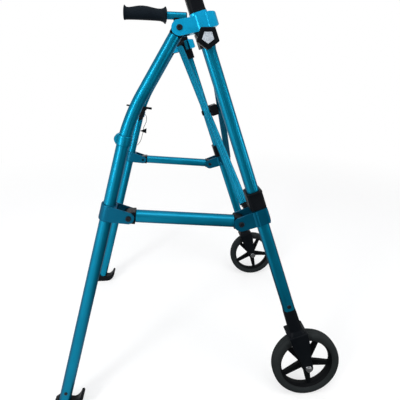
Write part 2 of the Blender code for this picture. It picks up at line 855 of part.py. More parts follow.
# Cross brace
def brace(word, top_side, plane):
    pivot_y = HALF_TRACK - PIVOT_INBOARD
    mid = leg_frame(0)
    rise = HIGH_PIVOT - LOW_PIVOT
    run = 2 * pivot_y
    length = math.hypot(rise, run)
    ends = {
        "top": (top_side * pivot_y, HIGH_PIVOT, -top_side * run, -rise),
        "bottom": (-top_side * pivot_y, LOW_PIVOT, top_side * run, rise),
    }
    for end, (y, z, dy, dz) in ends.items():
        # Local Z points along the bar, away from this pivot
        turn = Matrix.Rotation(-math.atan2(dy, dz), 4, "X")
        place = mid @ at(plane, y, z) @ turn
        if end == "top":
            bar = tube(
                f"cross_bar_{word}",
                [(0, 0, EYE_REACH + GAP), (0, 0, length - EYE_REACH - GAP)],
                BAR_RADIUS,
                place,
                TEAL,
                20,
            )
        outline = arc(0, 0, 0.0088, 180, 360, 8) + [(0.0088, EYE_REACH), (-0.0088, EYE_REACH)]
        eye = plate(f"cross_bar_{word}_{end}_eye", [outline], 0.0102, place @ FRONTWAYS, BLACK)
        cut(
            eye,
            rod(f"{word}_{end}_eye_bore", 0.0034, -0.02, 0.02, place @ Matrix.Rotation(math.pi / 2, 4, "Y")),
        )
    middle = mid @ at(plane, 0, (HIGH_PIVOT + LOW_PIVOT) / 2) @ Matrix.Rotation(math.pi / 2, 4, "Y")
    cut(bar, rod(f"{word}_hub_hole", 0.0040, -0.02, 0.02, middle))
    return bar


brace("front", -1, BAR_PLANE)
brace("rear", 1, -BAR_PLANE)

hub_half = BAR_PLANE - BAR_RADIUS - 0.0004
hub_place = leg_frame(0) @ at(0, 0, (HIGH_PIVOT + LOW_PIVOT) / 2)
hub_block = box(
    "cross_hub", (-hub_half, -0.0150, -0.0140), (hub_half, 0.0150, 0.0140), hub_place, BLACK, 0.002
)
cap_start = BAR_PLANE + BAR_RADIUS + GAP
hub_pin = turned(
    "hub_pin",
    [
        (0, -cap_start - 0.0035),
        (0.0050, -cap_start - 0.0035),
        (0.0070, -cap_start - 0.0015),
        (0.0070, -cap_start),
        (0.0036, -cap_start),
        (0.0036, cap_start),
        (0.0070, cap_start),
        (0.0070, cap_start + 0.0015),
        (0.0050, cap_start + 0.0035),
        (0, cap_start + 0.0035),
    ],
    hub_place @ Matrix.Rotation(math.pi / 2, 4, "Y"),
    None,
    SMALL_ROUND,
)
join(hub_block, hub_pin)

# Fold clip, cord and pull tab on the left rear leg
clip_y = HALF_TRACK
CLIP_UP = 0.612
CORD_END_UP = 0.4865
CORD_SIDE = -0.0160
PIN_SLOPE = math.radians(9.5)
hinge_x, hinge_z = leg_point(*BACK_BOLT)


def on_left_leg(up):
    """Where the left rear leg is at a height, and how far it leans there."""
    points = [Vector(point) + Vector((hinge_x, 0, hinge_z)) for point in rear_path["left"]]
    for high, low in zip(points, points[1:]):
        if low.z <= up <= high.z:
            t = (up - low.z) / (high.z - low.z)
            return low.x + t * (high.x - low.x), math.atan2(high.x - low.x, high.z - low.z)
    raise ValueError("the rear leg does not reach this height")


clip_x, clip_lean = on_left_leg(CLIP_UP)
clip_place = tilted(clip_x, clip_y, CLIP_UP, clip_lean)
clip = turned(
    "fold_clip",
    [(0, -0.0050), (0.0150, -0.0050), (0.0158, -0.0040), (0.0158, 0.0060), (0.0150, 0.0070), (0, 0.0070)],
    clip_place,
    BLACK,
    ROUND,
)
pin_place = tilted(clip_x, clip_y, CLIP_UP, PIN_SLOPE)
finger = box("clip_finger", (0.0135, -0.004, -0.0020), (0.0320, 0.004, 0.0052), pin_place)
tail = box("clip_tail", (-0.0520, -0.003, -0.0012), (-0.0135, 0.003, 0.0038), pin_place)
clip_body = plate(
    "clip_body",
    [
        [(0.0000, -0.0430), (0.0035, -0.0440), (0.0136, -0.0330), (0.0138, -0.0210), (0.0135, -0.0090)]
        + [(0.0132, 0.0020), (0.0040, 0.0020), (0.0010, -0.0110), (-0.0010, -0.0260)]
    ],
    0.0050,
    clip_place @ at(0, CORD_SIDE, 0) @ SIDEWAYS,
)
join(clip, finger, tail, clip_body)
leg_space = tube(
    "leg_space", rear_path["left"], SIDE_TUBE_RADIUS + GAP, at(hinge_x, clip_y, hinge_z), None
)
ring_space = rod(
    "ring_space",
    0.0152 + GAP,
    -0.0100 - GAP,
    0.0100 + GAP,
    tilted(AXLE_X - FOOT_BACK + math.tan(REAR_TILT) * RING_UP, clip_y, RING_UP, REAR_TILT),
    None,
    ROUND,
)
cut(clip, leg_space, ring_space)


def hanging(share, forward, aside=CORD_SIDE):
    """A point in front of the leg, at a share of the height from the cord's end to the clip."""
    up = CORD_END_UP + share * (CLIP_UP - CORD_END_UP)
    return Vector((on_left_leg(up)[0] + forward, clip_y + aside, up))


knots = [
    hanging(0.837, 0.0150),
    hanging(0.809, 0.0200),
    hanging(0.753, 0.0239),
    hanging(0.649, 0.0261),
    hanging(0.554, 0.0242),
    hanging(0.490, 0.0221),
    hanging(0.402, 0.0232),
    hanging(0.323, 0.0234),
    hanging(0.171, 0.0228),
    hanging(0.068, 0.0192, -0.0120),
    hanging(0.000, 0.0146, -0.0050),
]
cord_start = knots[0]
tube("pull_cord", [tuple(p - cord_start) for p in knots], 0.0009, at(*cord_start), CORD, 8)
tab_place = at(*hanging(0.398, 0.0266))
tab = plate(
    "pull_tab",
    [[(0.0080, 0.0085), (0.0065, -0.0085), (-0.0140, 0.0004)]],
    0.0040,
    tab_place @ SIDEWAYS,
    BLACK,
)
passage = tube("cord_passage", [tuple(p - cord_start) for p in knots[4:9]], 0.0013, at(*cord_start), None, 8)
cut(tab, passage)
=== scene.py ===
# %% [markdown]
# A two-wheeled walker, dressed over its solid model. The solids already have every size and joint,
# so each piece here is drawn in metres in the same frame: +Z is up, +X is forward, and +Y is the user's
# left. The near side in the picture is the user's right, at negative Y.

# %% Load the solid model
import math

import bmesh
import bpy
from mathutils import Matrix, Vector


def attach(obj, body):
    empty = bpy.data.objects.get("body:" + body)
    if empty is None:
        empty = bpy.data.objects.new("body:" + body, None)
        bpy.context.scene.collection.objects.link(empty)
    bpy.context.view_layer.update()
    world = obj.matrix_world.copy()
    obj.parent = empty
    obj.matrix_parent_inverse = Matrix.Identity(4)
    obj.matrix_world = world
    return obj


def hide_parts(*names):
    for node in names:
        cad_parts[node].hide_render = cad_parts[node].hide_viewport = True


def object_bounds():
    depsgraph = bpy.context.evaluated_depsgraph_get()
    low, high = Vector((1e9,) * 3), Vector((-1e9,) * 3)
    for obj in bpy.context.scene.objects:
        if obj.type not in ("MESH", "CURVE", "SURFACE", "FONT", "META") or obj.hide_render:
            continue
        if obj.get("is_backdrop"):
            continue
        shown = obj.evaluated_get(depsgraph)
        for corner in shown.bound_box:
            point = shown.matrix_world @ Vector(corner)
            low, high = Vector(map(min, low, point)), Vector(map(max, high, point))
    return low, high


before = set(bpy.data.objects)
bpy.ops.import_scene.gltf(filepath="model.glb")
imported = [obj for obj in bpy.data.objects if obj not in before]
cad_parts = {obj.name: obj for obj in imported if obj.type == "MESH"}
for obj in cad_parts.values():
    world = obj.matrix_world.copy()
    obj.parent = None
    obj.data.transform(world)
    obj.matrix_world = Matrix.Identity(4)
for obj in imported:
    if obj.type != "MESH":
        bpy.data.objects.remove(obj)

scene = bpy.context.scene
solid_box = [list(corner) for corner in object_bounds()]
print("solid model box, in metres:", [[round(c, 4) for c in corner] for corner in solid_box])

# %% [markdown]
# The sizes below are the walker's own: a 6-inch wheel, 1-inch round tubes and a leg that leans back.
# They repeat the solid model's values, so that a drawn piece lands exactly where its solid is.

# %% Sizes of the walker
WHEEL_RADIUS = 0.076
HALF_TRACK = 0.2225
LEG_LEAN = math.radians(17.5)
GAP = 0.0003

LEG_DEEP = 0.0248
LEG_WIDE = 0.025
LEG_CORNER = 0.008
LEG_WALL = 0.0015
LEG_BOTTOM = 0.143
LEG_TOP = 0.815

COLLAR_BOTTOM = 0.388
COLLAR_TOP = 0.4255
STRAP_BOTTOM = 0.354
LOW_PIVOT = 0.372
HIGH_PIVOT = 0.779
CLAMP_BOTTOM = 0.7265
CLAMP_TOP = 0.7565
BRACKET_TOP = 0.7865
SLEEVE_TOP = 0.8405
KNOB_UP = 0.741
COLLAR_HALF_DEEP = 0.0166
CHEEK_OUTSIDE = 0.0163
CHEEK_INSIDE = 0.0131
BACK_WALL = 0.0264
LUG_PLATE = 0.0038
PIVOT_INBOARD = 0.0305
BAR_PLANE = 0.0195
BAR_RADIUS = 0.0095
EYE_REACH = 0.0157

BACK_BOLT = (-0.042, 0.775)
FRONT_BOLT = (-0.0436, 0.3704)
REAR_BOLT = (-0.2531, 0.4590)
TUBE_RADIUS = 0.0125
TUBE_START = 0.0140

REAR_BEND_BACK = 0.3726
REAR_BEND_UP = 0.6348
REAR_TILT = math.radians(14.67)
REAR_TUBE_END = 0.0205
RING_UP = 0.593
FOOT_BACK_HALF = 0.0200
FOOT_BACK = REAR_BEND_BACK + math.tan(REAR_TILT) * REAR_BEND_UP
AXLE_X = (FOOT_BACK + FOOT_BACK_HALF - WHEEL_RADIUS) / 2
FOOT_X = AXLE_X - FOOT_BACK

HANDLE_UP = 0.8705
HANDLE_TILT = math.radians(2.6)
HANDLE_FRONT = 0.035
GRIP_START = 0.027
GRIP_LENGTH = 0.137
HANDLE_RADIUS = 0.0125
POST_BOTTOM = 0.500
SIDES = {"right": -1, "left": 1}

BOLT_BORE = 0.0037
AXLE_BORE = 0.0044
THROUGH = 0.03
TONGUE_HALF = 0.0127

# %% [markdown]
# The camera comes first, because every later choice is judged through it. It stands low and close beside
# the walker's right side and looks slightly down. The picture is cut from a larger one, so the lens is
# shifted: the middle of view lies above and left of the middle of the frame.

# %% Camera
FRAME_PIXELS = 400
FOCAL_PIXELS = 317.07
CENTRE_PIXEL = (183.52, 122.45)
CAMERA_PLACE = Vector((-0.06237, -0.83412, 0.71476))
YAW, PITCH, ROLL = 0.06012, 0.14570, 0.01276

forward = Vector((
    math.sin(YAW) * math.cos(PITCH),
    math.cos(YAW) * math.cos(PITCH),
    -math.sin(PITCH),
))
level_right = Vector((math.cos(YAW), -math.sin(YAW), 0))
level_down = forward.cross(level_right)
right = math.cos(ROLL) * level_right + math.sin(ROLL) * level_down
down = -math.sin(ROLL) * level_right + math.cos(ROLL) * level_down

lens = bpy.data.cameras.new("camera")
lens.sensor_width = 36
lens.lens = FOCAL_PIXELS / FRAME_PIXELS * lens.sensor_width
lens.shift_x = (FRAME_PIXELS / 2 - CENTRE_PIXEL[0]) / FRAME_PIXELS
lens.shift_y = (CENTRE_PIXEL[1] - FRAME_PIXELS / 2) / FRAME_PIXELS
lens.clip_start = 0.02
camera = bpy.data.objects.new("camera", lens)
turn = Matrix((right, -down, -forward)).transposed()
camera.matrix_world = Matrix.Translation(CAMERA_PLACE) @ turn.to_4x4()
scene.collection.objects.link(camera)
scene.camera = camera
scene.view_settings.view_transform = "Standard"
print("lens in millimetres:", round(lens.lens, 2))

# %% [markdown]
# Materials are networks of small nodes. Two helpers keep them short: one does a sum on two values, and the
# other carries a value from one range into another.

# %% Node helpers
def math_node(tree, how, first, second):
    node = tree.nodes.new("ShaderNodeMath")
    node.operation = how
    for socket, value in zip(node.inputs, (first, second)):
        if isinstance(value, (int, float)):
            socket.default_value = value
        else:
            tree.links.new(value, socket)
    return node.outputs[0]


def ranged(tree, value, start=0.0, end=1.0, low=0.0, high=1.0, smooth=True):
    node = tree.nodes.new("ShaderNodeMapRange")
    node.interpolation_type = "SMOOTHSTEP" if smooth else "LINEAR"
    for label, number in (("From Min", start), ("From Max", end), ("To Min", low), ("To Max", high)):
        node.inputs[label].default_value = number
    tree.links.new(value, node.inputs["Value"])
    return node.outputs["Result"]


# %% [markdown]
# The floor is one pale sheet. For the camera and for reflections it glows a little, so that it reads as
# white paper, while the part of it that only takes light keeps the soft shadow under the wheels.
# Further out the glow takes over, so that floor and backdrop meet without a line. The glow uses Light
# Path, so none of it falls on the walker, and the floor throws back less light than the camera sees.

# %% Floor and backdrop
PAPER = (1.0, 1.0, 1.0, 1)
NEAR_GLOW = 0.62
FLOOR_SEEN = 0.42
FLOOR_BOUNCE = 0.13
FADE_START = 0.9
FADE_END = 2.4
BACKDROP_ON_FLOOR = (0.0, 0.9, 0.05, -0.20, 1.6)
BACKDROP_IN_SKY = (-0.2, 0.3, -1.5, -1.6)


def seen_directly(tree, direction, start, end, left_start, left_end, mirror=1.0):
    """1 where the camera or glass looks straight at it, and where a mirror sees the white backdrop.

    The backdrop stands behind the walker and to its left. In front, on the camera's side, the studio is
    dim. Start and end say where one gives way to the other along Y, on the floor or as a direction in the
    sky, and the other two say the same along X, where the backdrop is on the low side. A mirror sees it
    brighter by the last number, which makes up for the part of the near floor that only takes light.
    """
    parts = tree.nodes.new("ShaderNodeSeparateXYZ")
    tree.links.new(direction, parts.inputs[0])
    behind = ranged(tree, parts.outputs["Y"], start, end, 0.0, mirror)
    left = ranged(tree, parts.outputs["X"], left_end, left_start, mirror, 0.0)
    sheet_seen = math_node(tree, "MAXIMUM", behind, left)
    path = tree.nodes.new("ShaderNodeLightPath")
    mirrored = math_node(tree, "MULTIPLY", path.outputs["Is Glossy Ray"], sheet_seen)
    both = math_node(tree, "MAXIMUM", path.outputs["Is Camera Ray"], mirrored)
    return math_node(tree, "MAXIMUM", both, path.outputs["Is Transmission Ray"])


paper = bpy.data.materials.new("paper_floor")
paper.use_nodes = True
tree = paper.node_tree
tree.nodes.clear()
where = tree.nodes.new("ShaderNodeTexCoord")
distance = tree.nodes.new("ShaderNodeVectorMath")
distance.operation = "LENGTH"
tree.links.new(where.outputs["Object"], distance.inputs[0])
nearness = ranged(tree, distance.outputs["Value"], FADE_START, FADE_END, 1.0, 0.0)
looked_at = tree.nodes.new("ShaderNodeLightPath").outputs["Is Camera Ray"]
paleness = ranged(tree, looked_at, low=FLOOR_BOUNCE, high=FLOOR_SEEN, smooth=False)
lit = tree.nodes.new("ShaderNodeBsdfDiffuse")
tree.links.new(math_node(tree, "MULTIPLY", nearness, paleness), lit.inputs["Color"])
strength = ranged(tree, nearness, low=1.0, high=NEAR_GLOW, smooth=False)
seen = seen_directly(tree, where.outputs["Object"], *BACKDROP_ON_FLOOR)
glow = tree.nodes.new("ShaderNodeEmission")
glow.inputs["Color"].default_value = PAPER
tree.links.new(math_node(tree, "MULTIPLY", seen, strength), glow.inputs["Strength"])
total = tree.nodes.new("ShaderNodeAddShader")
tree.links.new(lit.outputs[0], total.inputs[0])
tree.links.new(glow.outputs[0], total.inputs[1])
surface = tree.nodes.new("ShaderNodeOutputMaterial")
tree.links.new(total.outputs[0], surface.inputs["Surface"])

sheet = bmesh.new()
bmesh.ops.create_grid(sheet, x_segments=1, y_segments=1, size=9)
floor_mesh = bpy.data.meshes.new("floor")
sheet.to_mesh(floor_mesh)
sheet.free()
floor_mesh.materials.append(paper)
floor = bpy.data.objects.new("floor", floor_mesh)
scene.collection.objects.link(floor)
floor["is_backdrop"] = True

# %% [markdown]
# A photo studio lights glossy tubes with large soft boxes, because a tube mirrors the shape of its lamp.
# A tall box behind the camera on the left draws the long bright streak down each tube, a weaker one on
# the right opens the shadows, one overhead lights the tops, and a faint one behind parts the edges from
# the backdrop. The world adds an even, dim fill.

# %% Lamps
def soft_box(name, place, towards, wide, tall, watts):
    lamp = bpy.data.lights.new(name, "AREA")
    lamp.shape = "RECTANGLE"
    lamp.size = wide
    lamp.size_y = tall
    lamp.energy = watts
    made = bpy.data.objects.new(name, lamp)
    aim = (Vector(towards) - Vector(place)).to_track_quat("-Z", "Y")
    made.matrix_world = Matrix.Translation(place) @ aim.to_matrix().to_4x4()
    scene.collection.objects.link(made)
    return made


soft_box("key_box", (-1.8, -2.0, 1.15), (0, 0, 0.6), 0.50, 2.2, 50)
soft_box("fill_box", (2.2, -2.0, 0.50), (0, 0, 0.40), 0.60, 0.9, 24)
soft_box("top_box", (0.0, -0.9, 2.9), (0, 0, 0.3), 2.6, 1.3, 40)
soft_box("back_box", (-0.6, 2.8, 1.6), (0, 0, 0.5), 2.0, 1.4, 14)

world = bpy.data.worlds.new("studio")
world.use_nodes = True
scene.world = world
tree = world.node_tree
tree.nodes.clear()
fill = tree.nodes.new("ShaderNodeBackground")
fill.inputs["Color"].default_value = (0.95, 0.97, 1.0, 1)
fill.inputs["Strength"].default_value = 0.40
white = tree.nodes.new("ShaderNodeBackground")
white.inputs["Color"].default_value = (1, 1, 1, 1)
white.inputs["Strength"].default_value = 1.0
heading = tree.nodes.new("ShaderNodeTexCoord")
choose = tree.nodes.new("ShaderNodeMixShader")
seen = seen_directly(tree, heading.outputs["Generated"], *BACKDROP_IN_SKY)
tree.links.new(seen, choose.inputs["Fac"])
tree.links.new(fill.outputs[0], choose.inputs[1])
tree.links.new(white.outputs[0], choose.inputs[2])
sky = tree.nodes.new("ShaderNodeOutputWorld")
tree.links.new(choose.outputs[0], sky.inputs["Surface"])

# %% [markdown]
# Several finishes share two effects. Moulded plastic and rubber have a fine skin of pits, and every
# surface has soft patches where it has been handled or has caught a little dust. Each effect is a node
# group, drawn once with named values, and each material sets those values for itself.

# %% Shared surface effects
def new_group(name, numbers, results):
    group = bpy.data.node_groups.new(name, "ShaderNodeTree")
    for label, value in numbers.items():
        socket = group.interface.new_socket(label, in_out="INPUT", socket_type="NodeSocketFloat")
        socket.default_value = value
    for label in results:
        group.interface.new_socket(label, in_out="OUTPUT", socket_type="NodeSocketFloat")
    return group, group.nodes.new("NodeGroupInput"), group.nodes.new("NodeGroupOutput")


def pattern(group, given, kind):
    """A texture laid out in object coordinates, at the scale that the group is given."""
    where = group.nodes.new("ShaderNodeTexCoord")
    texture = group.nodes.new(kind)
    group.links.new(where.outputs["Object"], texture.inputs["Vector"])
    group.links.new(given.outputs["Scale"], texture.inputs["Scale"])
    return texture


def fine_skin():
    """Pits and low bumps of a moulded surface, as a height from 0 to 1."""
    group, given, result = new_group("fine skin", {"Scale": 900, "Pits": 0.5}, ["Height"])
    cells = pattern(group, given, "ShaderNodeTexVoronoi")
    waves = pattern(group, given, "ShaderNodeTexNoise")
    waves.inputs["Detail"].default_value = 3
    pits = math_node(group, "MULTIPLY", cells.outputs["Distance"], given.outputs["Pits"])
    total = math_node(group, "ADD", pits, waves.outputs["Fac"])
    group.links.new(total, result.inputs["Height"])
    return group


def soft_patches():
    """Broad, faint patches, and dust that gathers on faces that look up."""
    group, given, result = new_group("soft patches", {"Scale": 14, "Dust": 0.3}, ["Patches", "Dust"])
    clouds = pattern(group, given, "ShaderNodeTexNoise")
    clouds.inputs["Detail"].default_value = 5
    clouds.inputs["Roughness"].default_value = 0.62
    patches = ranged(group, clouds.outputs["Fac"], 0.32, 0.68, smooth=False)
    parts = group.nodes.new("ShaderNodeSeparateXYZ")
    group.links.new(group.nodes.new("ShaderNodeTexCoord").outputs["Normal"], parts.inputs[0])
    upward = math_node(group, "MAXIMUM", parts.outputs["Z"], 0.0)
    settled = math_node(group, "MULTIPLY", upward, patches)
    dust = math_node(group, "MULTIPLY", settled, given.outputs["Dust"])
    group.links.new(patches, result.inputs["Patches"])
    group.links.new(dust, result.inputs["Dust"])
    return group


def paint_flakes():
    """Metal flakes in a clear coloured coat: each cell of a fine pattern is brighter or darker."""
    group, given, result = new_group("paint flakes", {"Scale": 2600}, ["Flakes"])
    cells = pattern(group, given, "ShaderNodeTexVoronoi")
    parts = group.nodes.new("ShaderNodeSeparateColor")
    group.links.new(cells.outputs["Color"], parts.inputs[0])
    group.links.new(parts.outputs[0], result.inputs["Flakes"])
    return group


SKIN = fine_skin()
PATCHES = soft_patches()
FLAKES = paint_flakes()

# %% [markdown]
# Every finish is built by one function: a colour that drifts between two tones, a roughness that drifts
# with it, a trace of dust, and a bump from the fine skin. Some finishes also get painted shade: a darker
# colour where the surface turns away from the view. Only the values differ between plastics, paint
# and metal. Values that are the same all over sit on the shader itself.

# %% One function for every finish
DUST_GREY = (0.30, 0.30, 0.29)


def mix_colour(tree, share, first, second):
    node = tree.nodes.new("ShaderNodeMix")
    node.data_type = "RGBA"
    tree.links.new(share, node.inputs["Factor"])
    for socket, value in ((node.inputs["A"], first), (node.inputs["B"], second)):
        if isinstance(value, tuple):
            socket.default_value = (*value, 1)
        else:
            tree.links.new(value, socket)
    return node.outputs["Result"]


def placed(tree, group, **values):
    node = tree.nodes.new("ShaderNodeGroup")
    node.node_tree = group
    for label, value in values.items():
        node.inputs[label].default_value = value
    return node


def finish(name, dark, light, rough, metal=0.0, coat=0.0, coat_rough=0.1, skin=(900, 0.5), bump=0.0001,
           patch_scale=14, dust=0.15, flakes=0.0, specular=0.5, tint=(1, 1, 1), painted_edge_shade=1.0):
    made = bpy.data.materials.new(name)
    made.use_nodes = True
    tree = made.node_tree
    shader = tree.nodes["Principled BSDF"]
    plain = {"Metallic": metal, "Coat Weight": coat, "Coat Roughness": coat_rough,
             "Specular IOR Level": specular, "Specular Tint": (*tint, 1)}
    for label, value in plain.items():
        shader.inputs[label].default_value = value

    patches = placed(tree, PATCHES, Scale=patch_scale, Dust=dust)
    tone = mix_colour(tree, patches.outputs["Patches"], dark, light)
    if flakes:
        grain = placed(tree, FLAKES, Scale=2600)
        share = math_node(tree, "MULTIPLY", grain.outputs["Flakes"], flakes)
        sparkle = tuple(min(1.0, channel * 2.4 + 0.03) for channel in light)
        tone = mix_colour(tree, share, tone, sparkle)
    if painted_edge_shade < 1.0:
        # Painted shade: the colour goes towards a darker copy of the dark tone where the surface turns away
        # from the view, and depth says how much of that shade is laid on
        facing = tree.nodes.new("ShaderNodeLayerWeight")
        facing.inputs["Blend"].default_value = 0.5
        depth = ranged(tree, facing.outputs["Facing"], 0.25, 0.90)
        tone = mix_colour(tree, depth, tone, tuple(channel * painted_edge_shade for channel in dark))
    tone = mix_colour(tree, patches.outputs["Dust"], tone, DUST_GREY)
    tree.links.new(tone, shader.inputs["Base Color"])
    roughness = ranged(tree, patches.outputs["Patches"], low=rough[0], high=rough[1], smooth=False)
    tree.links.new(roughness, shader.inputs["Roughness"])

    pits = placed(tree, SKIN, Scale=skin[0], Pits=skin[1])
    relief = tree.nodes.new("ShaderNodeBump")
    relief.inputs["Strength"].default_value = 1.0
    relief.inputs["Distance"].default_value = bump
    tree.links.new(pits.outputs["Height"], relief.inputs["Height"])
    tree.links.new(relief.outputs["Normal"], shader.inputs["Normal"])
    return made


# %% [markdown]
# The tubes are dyed, polished aluminium: a deep blue-green that flashes to cyan where a lamp catches it.
# The bracket at the top is cast and painted, so it is a flatter, brighter blue. The dark parts are
# moulded plastic with a fine spark-eroded skin, the tyre is a duller and warmer grey, and the grip is
# soft and almost matt.

# %% The walker's finishes
# Painted shade in the teal, cast and blue finishes: their last value is how much of the dark tone is left
# where the surface turns away from the view.
TEAL = finish("teal_tube", (0.0020, 0.170, 0.285), (0.0020, 0.200, 0.330), (0.35, 0.41), metal=0.75,
              coat=0.06, coat_rough=0.12, skin=(1500, 0.2), bump=0.000003, dust=0.02, flakes=0.008,
              specular=0.1, tint=(0.05, 0.45, 0.60), painted_edge_shade=0.30)
CAST = finish("cast_teal", (0.0012, 0.086, 0.158), (0.0012, 0.103, 0.185), (0.34, 0.44), metal=0.65,
              coat=0.06, coat_rough=0.16, skin=(700, 0.4), bump=0.00002, dust=0.02, flakes=0.01,
              specular=0.1, tint=(0.05, 0.45, 0.60), painted_edge_shade=0.35)
BLUE = finish("bright_blue_paint", (0.002, 0.300, 0.560), (0.003, 0.345, 0.640), (0.28, 0.34), metal=0.25,
              coat=0.04, coat_rough=0.18, skin=(700, 0.4), bump=0.000005, dust=0.02, flakes=0.01,
              specular=1.0, tint=(0.08, 0.85, 1.00), painted_edge_shade=0.55)
BLACK = finish("black_moulding", (0.0025, 0.0035, 0.0050), (0.0045, 0.0058, 0.0075), (0.40, 0.54),
               skin=(1100, 0.7), bump=0.00005, dust=0.005, specular=0.06)
RIM_BLACK = finish("wheel_moulding", (0.0020, 0.0025, 0.0032), (0.0035, 0.0042, 0.0050), (0.44, 0.58),
                   skin=(1000, 0.7), bump=0.00005, dust=0.005, specular=0.05)
TYRE = finish("tyre_rubber", (0.0125, 0.0150, 0.0155), (0.0190, 0.0225, 0.0235), (0.66, 0.82),
              skin=(620, 0.9), bump=0.00012, patch_scale=30, dust=0.02, specular=0.10)
GRIP = finish("soft_grip", (0.0030, 0.0060, 0.0095), (0.0055, 0.0095, 0.0140), (0.56, 0.72),
              skin=(800, 1.0), bump=0.00012, patch_scale=22, dust=0.005, specular=0.06)
STEEL = finish("zinc_steel", (0.30, 0.31, 0.32), (0.46, 0.47, 0.48), (0.28, 0.44), metal=1.0,
               skin=(1500, 0.4), bump=0.00003, patch_scale=60, dust=0.04)
DARK = finish("blackened_steel", (0.006, 0.008, 0.012), (0.014, 0.017, 0.022), (0.32, 0.46), metal=0.5,
              skin=(1500, 0.3), bump=0.00003, patch_scale=60, dust=0.03, specular=0.25)
CORD = finish("woven_cord", (0.005, 0.006, 0.008), (0.020, 0.022, 0.025), (0.75, 0.88),
              skin=(2600, 1.0), bump=0.00015, patch_scale=200, dust=0.03, specular=0.2)

# %% [markdown]
# The insert in the knob is silver with dark specks, like granite. The specks are cells of a second
# pattern, so it gets its own short network on top of the common one.

# %% Speckled silver
SILVER = finish("speckled_silver", (0.42, 0.47, 0.53), (0.60, 0.65, 0.71), (0.38, 0.52), metal=0.25,
                skin=(1800, 0.5), bump=0.00004, patch_scale=90, dust=0.03)
tree = SILVER.node_tree
shader = tree.nodes["Principled BSDF"]
base = shader.inputs["Base Color"].links[0].from_socket
where = tree.nodes.new("ShaderNodeTexCoord")
specks = tree.nodes.new("ShaderNodeTexVoronoi")
specks.inputs["Scale"].default_value = 1300
tree.links.new(where.outputs["Object"], specks.inputs["Vector"])
parts = tree.nodes.new("ShaderNodeSeparateColor")
tree.links.new(specks.outputs["Color"], parts.inputs[0])
few = math_node(tree, "GREATER_THAN", parts.outputs[0], 0.84)
speckled = mix_colour(tree, math_node(tree, "MULTIPLY", few, 0.75), base, (0.10, 0.12, 0.14))
tree.links.new(speckled, shader.inputs["Base Color"])
print("finishes made:", len([m for m in bpy.data.materials if m.use_nodes]))

# %% [markdown]
# Most pieces are a flat outline given thickness, a profile turned on a lathe, or a section drawn along a
# line. These few tools make them with mesh operators. Each returns a loose shape, which is only put in
# its place on the walker when the piece is finished.

# %% Frames on the walker
SIDEWAYS = Matrix.Rotation(math.pi / 2, 4, "X")
FRONTWAYS = Matrix(((0, 0, 1, 0), (1, 0, 0, 0), (0, 1, 0, 0), (0, 0, 0, 1)))


def at(x, y, z):
    return Matrix.Translation((x, y, z))


def tilted(x, y, z, angle):
    return at(x, y, z) @ Matrix.Rotation(angle, 4, "Y")


def leg_frame(side):
    """Z up the front leg, X forward, Y across, with the axle at zero. Side 0 is the middle of the walker."""
    return tilted(AXLE_X, side * HALF_TRACK, WHEEL_RADIUS, -LEG_LEAN)


def outward(side):
    """Turns a lathe's Z to point away from the walker on that side."""
    return Matrix.Rotation(-side * math.pi / 2, 4, "X")


def leg_point(forward, up):
    return (
        AXLE_X - math.sin(LEG_LEAN) * up + math.cos(LEG_LEAN) * forward,
        WHEEL_RADIUS + math.cos(LEG_LEAN) * up + math.sin(LEG_LEAN) * forward,
    )


# %% Outlines
def arc(cx, cy, radius, start, end, count):
    step = math.radians(end - start) / count
    first = math.radians(start)
    return [
        (cx + radius * math.cos(first + step * i), cy + radius * math.sin(first + step * i))
        for i in range(count + 1)
    ]


def rounded(deep, wide, radius, count=6, cx=0.0, cy=0.0):
    hx = deep / 2 - radius
    hy = wide / 2 - radius
    points = []
    for sx, sy, start in ((1, 1, 0), (-1, 1, 90), (-1, -1, 180), (1, -1, 270)):
        points += arc(cx + sx * hx, cy + sy * hy, radius, start, start + 90, count)
    return points


# %% Shapes from outlines and profiles
def prism(loop, low, high):
    """A flat outline drawn up from low to high and closed at both ends."""
    shape = bmesh.new()
    face = shape.faces.new([shape.verts.new((x, y, low)) for x, y in loop])
    drawn = bmesh.ops.extrude_face_region(shape, geom=[face])
    top = [part for part in drawn["geom"] if isinstance(part, bmesh.types.BMVert)]
    bmesh.ops.translate(shape, verts=top, vec=(0, 0, high - low))
    bmesh.ops.recalc_face_normals(shape, faces=shape.faces)
    return shape


def pipe(outer, inner, low, high):
    """A wall between two outlines, drawn up from low to high."""
    shape = bmesh.new()
    rings = []
    for loop in (outer, inner):
        verts = [shape.verts.new((x, y, low)) for x, y in loop]
        rings.append([shape.edges.new((a, b)) for a, b in zip(verts, verts[1:] + verts[:1])])
    wall = bmesh.ops.bridge_loops(shape, edges=rings[0] + rings[1])
    drawn = bmesh.ops.extrude_face_region(shape, geom=wall["faces"])
    top = [part for part in drawn["geom"] if isinstance(part, bmesh.types.BMVert)]
    bmesh.ops.translate(shape, verts=top, vec=(0, 0, high - low))
    bmesh.ops.recalc_face_normals(shape, faces=shape.faces)
    return shape


def turned(profile, around=48, closed=False):
    """A profile of (radius, height) spun about Z."""
    shape = bmesh.new()
    verts = [shape.verts.new((r, 0, z)) for r, z in profile]
    edges = [shape.edges.new(pair) for pair in zip(verts, verts[1:])]
    if closed:
        edges.append(shape.edges.new((verts[-1], verts[0])))
    bmesh.ops.spin(shape, geom=verts + edges, cent=(0, 0, 0), axis=(0, 0, 1), angle=2 * math.pi,
                   steps=around, use_merge=True)
    bmesh.ops.remove_doubles(shape, verts=shape.verts, dist=1e-7)
    bmesh.ops.recalc_face_normals(shape, faces=shape.faces)
    return shape


def drum(radius, low, high, around=32, edge=0.0):
    """A plain disc or rod; edge takes its two rims off."""
    profile = [(0, low), (radius - edge, low), (radius, low + edge), (radius, high - edge),
               (radius - edge, high), (0, high)]
    if not edge:
        profile = [(0, low), (radius, low), (radius, high), (0, high)]
    return turned(profile, around)


